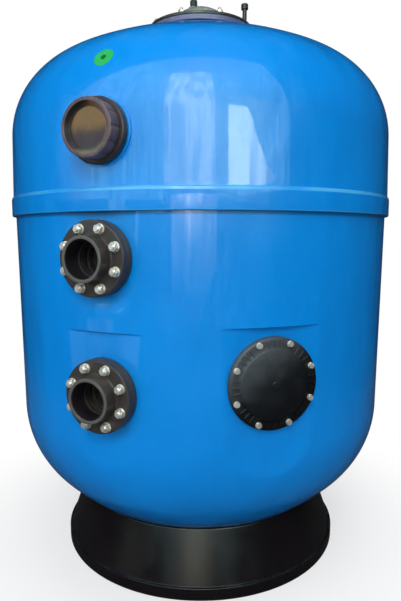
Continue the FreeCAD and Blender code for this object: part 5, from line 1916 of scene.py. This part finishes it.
def round_fade(middle: tuple[float, float], reach: tuple[float, float]) -> Fade:
    """Return a fade outwards from a point.

    Args:
        middle: the point, across and up.
        reach: how far the light reaches across and up.

    Returns:
        The fade.
    """
    spread = {"Location": (middle[0], 0.0, middle[1]), "Scale": (reach[0], 1e6, reach[1])}

    def fade(wire: Wiring, place: bpy.types.NodeSocket) -> bpy.types.NodeSocket:
        """Wire the fade."""
        moved = wire.add("ShaderNodeMapping", {"Vector": place, **spread}, vector_type="TEXTURE")
        return wire.between(wire.length(moved.outputs[0]), 1.0, 0.2)

    return fade


def summed_fade(first: Fade, second: Fade, gain: float) -> Fade:
    """Return the sum of a fade and a second one times a gain."""
    return lambda wire, place: wire.math("MULTIPLY_ADD", second(wire, place), gain, first(wire, place))


def oblong(start: float, end: float, low: float, high: float) -> Outline:
    """Return the outline of an oblong between two places on each of its two axes."""
    return [(start, low), (end, low), (end, high), (start, high)]


def sheet(axis: str, place: float, outline: Outline) -> list[Point]:
    """Return the points of a flat outline that is square to an axis, at a place along it."""
    index = "XYZ".index(axis)
    return [(*point[:index], place, *point[index:]) for point in outline]


@dataclass
class Studio:
    """Camera, pale floor, white background, soft lamps, and sheets that only the gloss shows."""

    camera_y: float = -2.161
    camera_z: float = 1.186
    pitch: float = 6.78
    lens: float = 32.0
    sensor: float = 36.0
    clip: float = 0.05
    left: float = -2.6
    right: float = 2.6
    near: float = -7.5
    far: float = 3.4
    sky: float = 9.0
    roof: float = 3.6
    left_start: float = -1.75
    right_end: float = -2.62
    left_sill: float = 1.4
    right_sill: float = 1.68
    front_sill: float = 2.25
    floor: float = 14.0

    def add_camera(self) -> None:
        """Put the camera where the photograph was taken from."""
        data = bpy.data.cameras.new("view")
        data.lens, data.sensor_width, data.clip_start = self.lens, self.sensor, self.clip
        camera = bpy.data.objects.new("view", data)
        camera.location = (0.0, self.camera_y, self.camera_z)
        camera.rotation_euler = (math.radians(90.0 - self.pitch), 0.0, 0.0)
        bpy.context.scene.collection.objects.link(camera)
        bpy.context.scene.camera = camera

    def add_lamp(
        self, name: str, place: Point, aim: float, size: tuple[float, float], power: float, tint: Colour
    ) -> None:
        """Add one soft rectangular lamp.

        Args:
            name: name of the lamp.
            place: where it stands.
            aim: height on the vessel's axis that it faces.
            size: its width and height.
            power: its power in watts.
            tint: colour of its light.
        """
        data = bpy.data.lights.new(name, "AREA")
        data.shape = "RECTANGLE"
        data.size, data.size_y = size
        data.energy = power
        data.color = tint
        lamp = bpy.data.objects.new(name, data)
        lamp.location = place
        lamp.rotation_euler = (Vector((0.0, 0.0, aim)) - Vector(place)).to_track_quat("-Z", "Y").to_euler()
        lamp.visible_glossy = False
        bpy.context.scene.collection.objects.link(lamp)

    def add_lamps(self) -> None:
        """Add soft lamps that light the object; what the gloss shows is on the panes and cards."""
        warm, cool = (1.0, 1.0, 0.97), (0.96, 0.99, 1.0)
        self.add_lamp("key_front", (-0.6, -5.6, 3.9), 1.2, (2.3, 3.7), 116.0, warm)
        self.add_lamp("fill_left", (-5.0, -3.0, 2.6), 1.1, (3.0, 3.0), 52.0, cool)
        self.add_lamp("fill_front", (-0.8, -5.0, 5.0), 1.1, (3.0, 2.0), 74.0, warm)
        self.add_lamp("fill_top", (0.7, -0.9, 5.6), 1.5, (3.0, 3.0), 84.0, cool)

    def add_sheet(
        self, name: str, points: list[Point], material: bpy.types.Material, in_gloss_only: bool = True
    ) -> None:
        """Add one flat stage object.

        Args:
            name: name of the object.
            points: its corners in metres.
            material: its material.
            in_gloss_only: whether nothing but a glossy surface shows it.
        """
        mesh = bpy.data.meshes.new(name)
        mesh.from_pydata(points, [], [tuple(range(len(points)))])
        mesh.materials.append(material)
        item = bpy.data.objects.new(name, mesh)
        bpy.context.scene.collection.objects.link(item)
        if in_gloss_only:
            for field in ("visible_camera", "visible_diffuse", "visible_shadow", "visible_transmission"):
                setattr(item, field, False)
        item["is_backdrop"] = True

    def add_pane(
        self, name: str, points: list[Point], strength: float, tint: Colour, fade: Fade | None = None
    ) -> None:
        """Add one bright pane whose light is a little uneven.

        Args:
            name: name of the pane.
            points: its corners in metres.
            strength: strength of its light.
            tint: colour of its light.
            fade: how its light fades, if it does.
        """
        material, wire, place = new_material(name)
        drawn = wire.add("ShaderNodeMapping", {"Vector": place, "Scale": (1.0, 1.0, 0.22)}).outputs[0]
        folds = wire.between(wire.noise(drawn, 4.2, 3.0, 0.6), 0.36, 0.62, 0.5, 1.22)
        light = wire.math("MULTIPLY", folds, strength)
        if fade:
            light = wire.math("MULTIPLY", light, fade(wire, place))
        wire.show(wire.add("ShaderNodeEmission", {"Color": (*tint, 1.0), "Strength": light}).outputs[0])
        self.add_sheet(name, points, material)

    def add_panes(self) -> None:
        """Add the bright window panes and the sky that only the gloss shows."""
        white, warm, blue, front = (0.86, 1.0, 0.8), (1.0, 0.97, 0.84), (0.6, 0.98, 1.0), -5.4
        left = [(-1.78, 2.02), (0.67, 2.0), (0.67, 7.4), (-1.78, 7.4)]
        self.add_pane("pane_left", sheet("Y", front, left), 5.6, white)
        right = [(0.7, 1.665), (2.24, 1.755), (2.24, 1.8), (1.86, 1.9), (1.56, 2.04), (1.39, 2.16)]
        right += [(1.2, 2.24), (0.7, 2.24)]
        self.add_pane("pane_right", sheet("Y", -3.0, right), 10.5, white, wire_fade("X", 3.0, 1.2))
        low = [(-1.44, 1.66), (-1.46, 0.3), (0.1, 0.3), (0.79, 0.69), (0.78, 1.66)]
        soft = summed_fade(wire_fade("Z", 0.2, 1.2), round_fade((-0.42, 1.72), (0.98, 0.88)), 4.4)
        self.add_pane("pane_low", sheet("Y", front, low), 1.5, warm, soft)
        self.add_pane("pane_edge", sheet("X", -2.5, oblong(-3.25, -2.45, 1.0, 1.42)), 1.5, white)
        self.add_pane("pane_flat", sheet("X", -2.5, oblong(-2.4, -1.4, 0.1, 0.62)), 0.6, white)
        back = sheet("Y", 3.3, oblong(-1.5, 1.5, 1.3, 3.5))
        self.add_pane("pane_back", back, 1.5, blue, round_fade((0.0, 2.4), (1.5, 1.1)))
        for name, axis, place, start, end, sill in (
            ("sky_front", "Y", self.near, self.left, self.right, self.front_sill),
            ("sky_right", "X", self.right, self.near, self.right_end, self.right_sill),
            ("sky_left", "X", self.left, self.near, self.left_start, self.left_sill),
        ):
            self.add_pane(name, sheet(axis, place, oblong(start, end, sill, self.sky)), 2.0, blue)

    def add_card(self, name: str, points: list[Point], grey: float, fade: tuple[float, ...] = ()) -> None:
        """Add a dark card that only shows in gloss, as beside a glossy product in a studio.

        Args:
            name: name of the card.
            points: its corners in metres.
            grey: grey of its cloth.
            fade: places along Y where the card starts and is dense.
        """
        material, wire, place = new_material(name)
        inputs = material.node_tree.nodes["Principled BSDF"].inputs
        cloth = wire.mix(wire.noise(place, 3.0), (grey,) * 3, (grey * 1.3,) * 3)
        wire.connect(cloth, inputs["Base Color"])
        wire.connect(1.0, inputs["Roughness"])
        if fade:
            wire.connect(wire.between(wire.axis(place, "Y"), *fade), inputs["Alpha"])
        self.add_sheet(name, points, material)

    def add_cards(self) -> None:
        """Add low and high cards at the sides, one in front, one behind, one overhead and a floor mat."""
        dark, mat, high, soft = 0.01, 0.03, 6.0, (-1.75, -0.45)
        for name, axis, place, outline, fade in (
            ("card_left_low", "X", self.left, (self.near, self.far, 0.0, self.left_sill), ()),
            ("card_left_high", "X", self.left, (self.left_start, self.far, self.left_sill, high), soft),
            ("card_right_low", "X", self.right, (self.near, self.right_end, 0.0, self.right_sill), ()),
            ("card_right_high", "X", self.right, (self.right_end, self.far, 0.0, high), ()),
            ("card_front", "Y", self.near, (-6.0, 6.0, 0.0, self.front_sill), ()),
            ("card_back", "Y", self.far, (self.left, self.right, 0.0, self.roof), ()),
            ("card_above", "Z", self.roof, (-4.0, 4.0, -1.4, 6.0), ()),
        ):
            self.add_card(name, sheet(axis, place, oblong(*outline)), dark, fade)
        self.add_card("mat", sheet("Z", 0.002, oblong(self.left, self.right, self.near, self.far)), mat)

    def add_world(self) -> None:
        """Set a dim even world that the camera and the gloss see as white."""
        world = bpy.data.worlds.new("studio")
        bpy.context.scene.world = world
        world.use_nodes = True
        world.node_tree.nodes.clear()
        wire = Wiring(world.node_tree)
        dim = wire.add("ShaderNodeBackground", {"Color": (0.92, 0.96, 1.0, 1.0), "Strength": 0.42})
        white = wire.add("ShaderNodeBackground", {"Color": (1.0, 1.0, 1.0, 1.0), "Strength": 1.0})
        mixed = wire.add("ShaderNodeMixShader", {0: wire.seen(), 1: dim.outputs[0], 2: white.outputs[0]})
        wire.add("ShaderNodeOutputWorld", {"Surface": mixed.outputs[0]})

    def add_floor(self) -> None:
        """Add the pale floor, which fades to plain white away from the object's soft shadow."""
        material, wire, place = new_material("pale_floor")
        shader = material.node_tree.nodes["Principled BSDF"]
        colour = wire.mix(wire.noise(place, 1.2), (0.86,) * 3, (0.9,) * 3)
        camera = wire.add("ShaderNodeLightPath").outputs["Is Camera Ray"]
        wire.connect(wire.mix(camera, (0.42,) * 3, colour), shader.inputs["Base Color"])
        wire.connect(0.9, shader.inputs["Roughness"])
        wire.connect(0.1, shader.inputs["Specular IOR Level"])
        seen = wire.math("MULTIPLY", wire.seen(), wire.between(wire.length(place), 0.5, 1.3, 0.62, 1.0))
        white = wire.add("ShaderNodeEmission", {"Color": (1.0, 1.0, 1.0, 1.0), "Strength": 1.0})
        mixed = wire.add("ShaderNodeMixShader", {0: seen, 1: shader.outputs[0], 2: white.outputs[0]})
        wire.show(mixed.outputs[0])
        square = oblong(-self.floor, self.floor, -self.floor, self.floor)
        self.add_sheet("studio_floor", sheet("Z", 0.0, square), material, in_gloss_only=False)

    def build(self) -> None:
        """Set up the studio."""
        bpy.context.scene.view_settings.view_transform = "Standard"
        self.add_camera()
        self.add_lamps()
        self.add_world()
        self.add_floor()
        self.add_cards()
        self.add_panes()


def write_sizes() -> None:
    """Turn the CAD box and the dressed box into lists of numbers; they are not written anywhere."""
    boxes = {"cad": CAD_BOX, "visual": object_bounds()}
    lines = {name: [[float(value) for value in corner] for corner in box] for name, box in boxes.items()}


def main() -> None:
    """Build the studio and every sub-assembly in order."""
    logging.basicConfig(level=logging.INFO, format="%(message)s")
    Studio().build()
    InnerPieces().build()
    Vessel().build()
    Plinth().build()
    Port("inlet", INLET_SEAT, 685.0, seed=3).build()
    Port("outlet", OUTLET_SEAT, 680.0, seed=11).build()
    SightGlass().build()
    Manhole().build()
    TopLid().build()
    write_sizes()


if __name__ == "__main__":
    main()
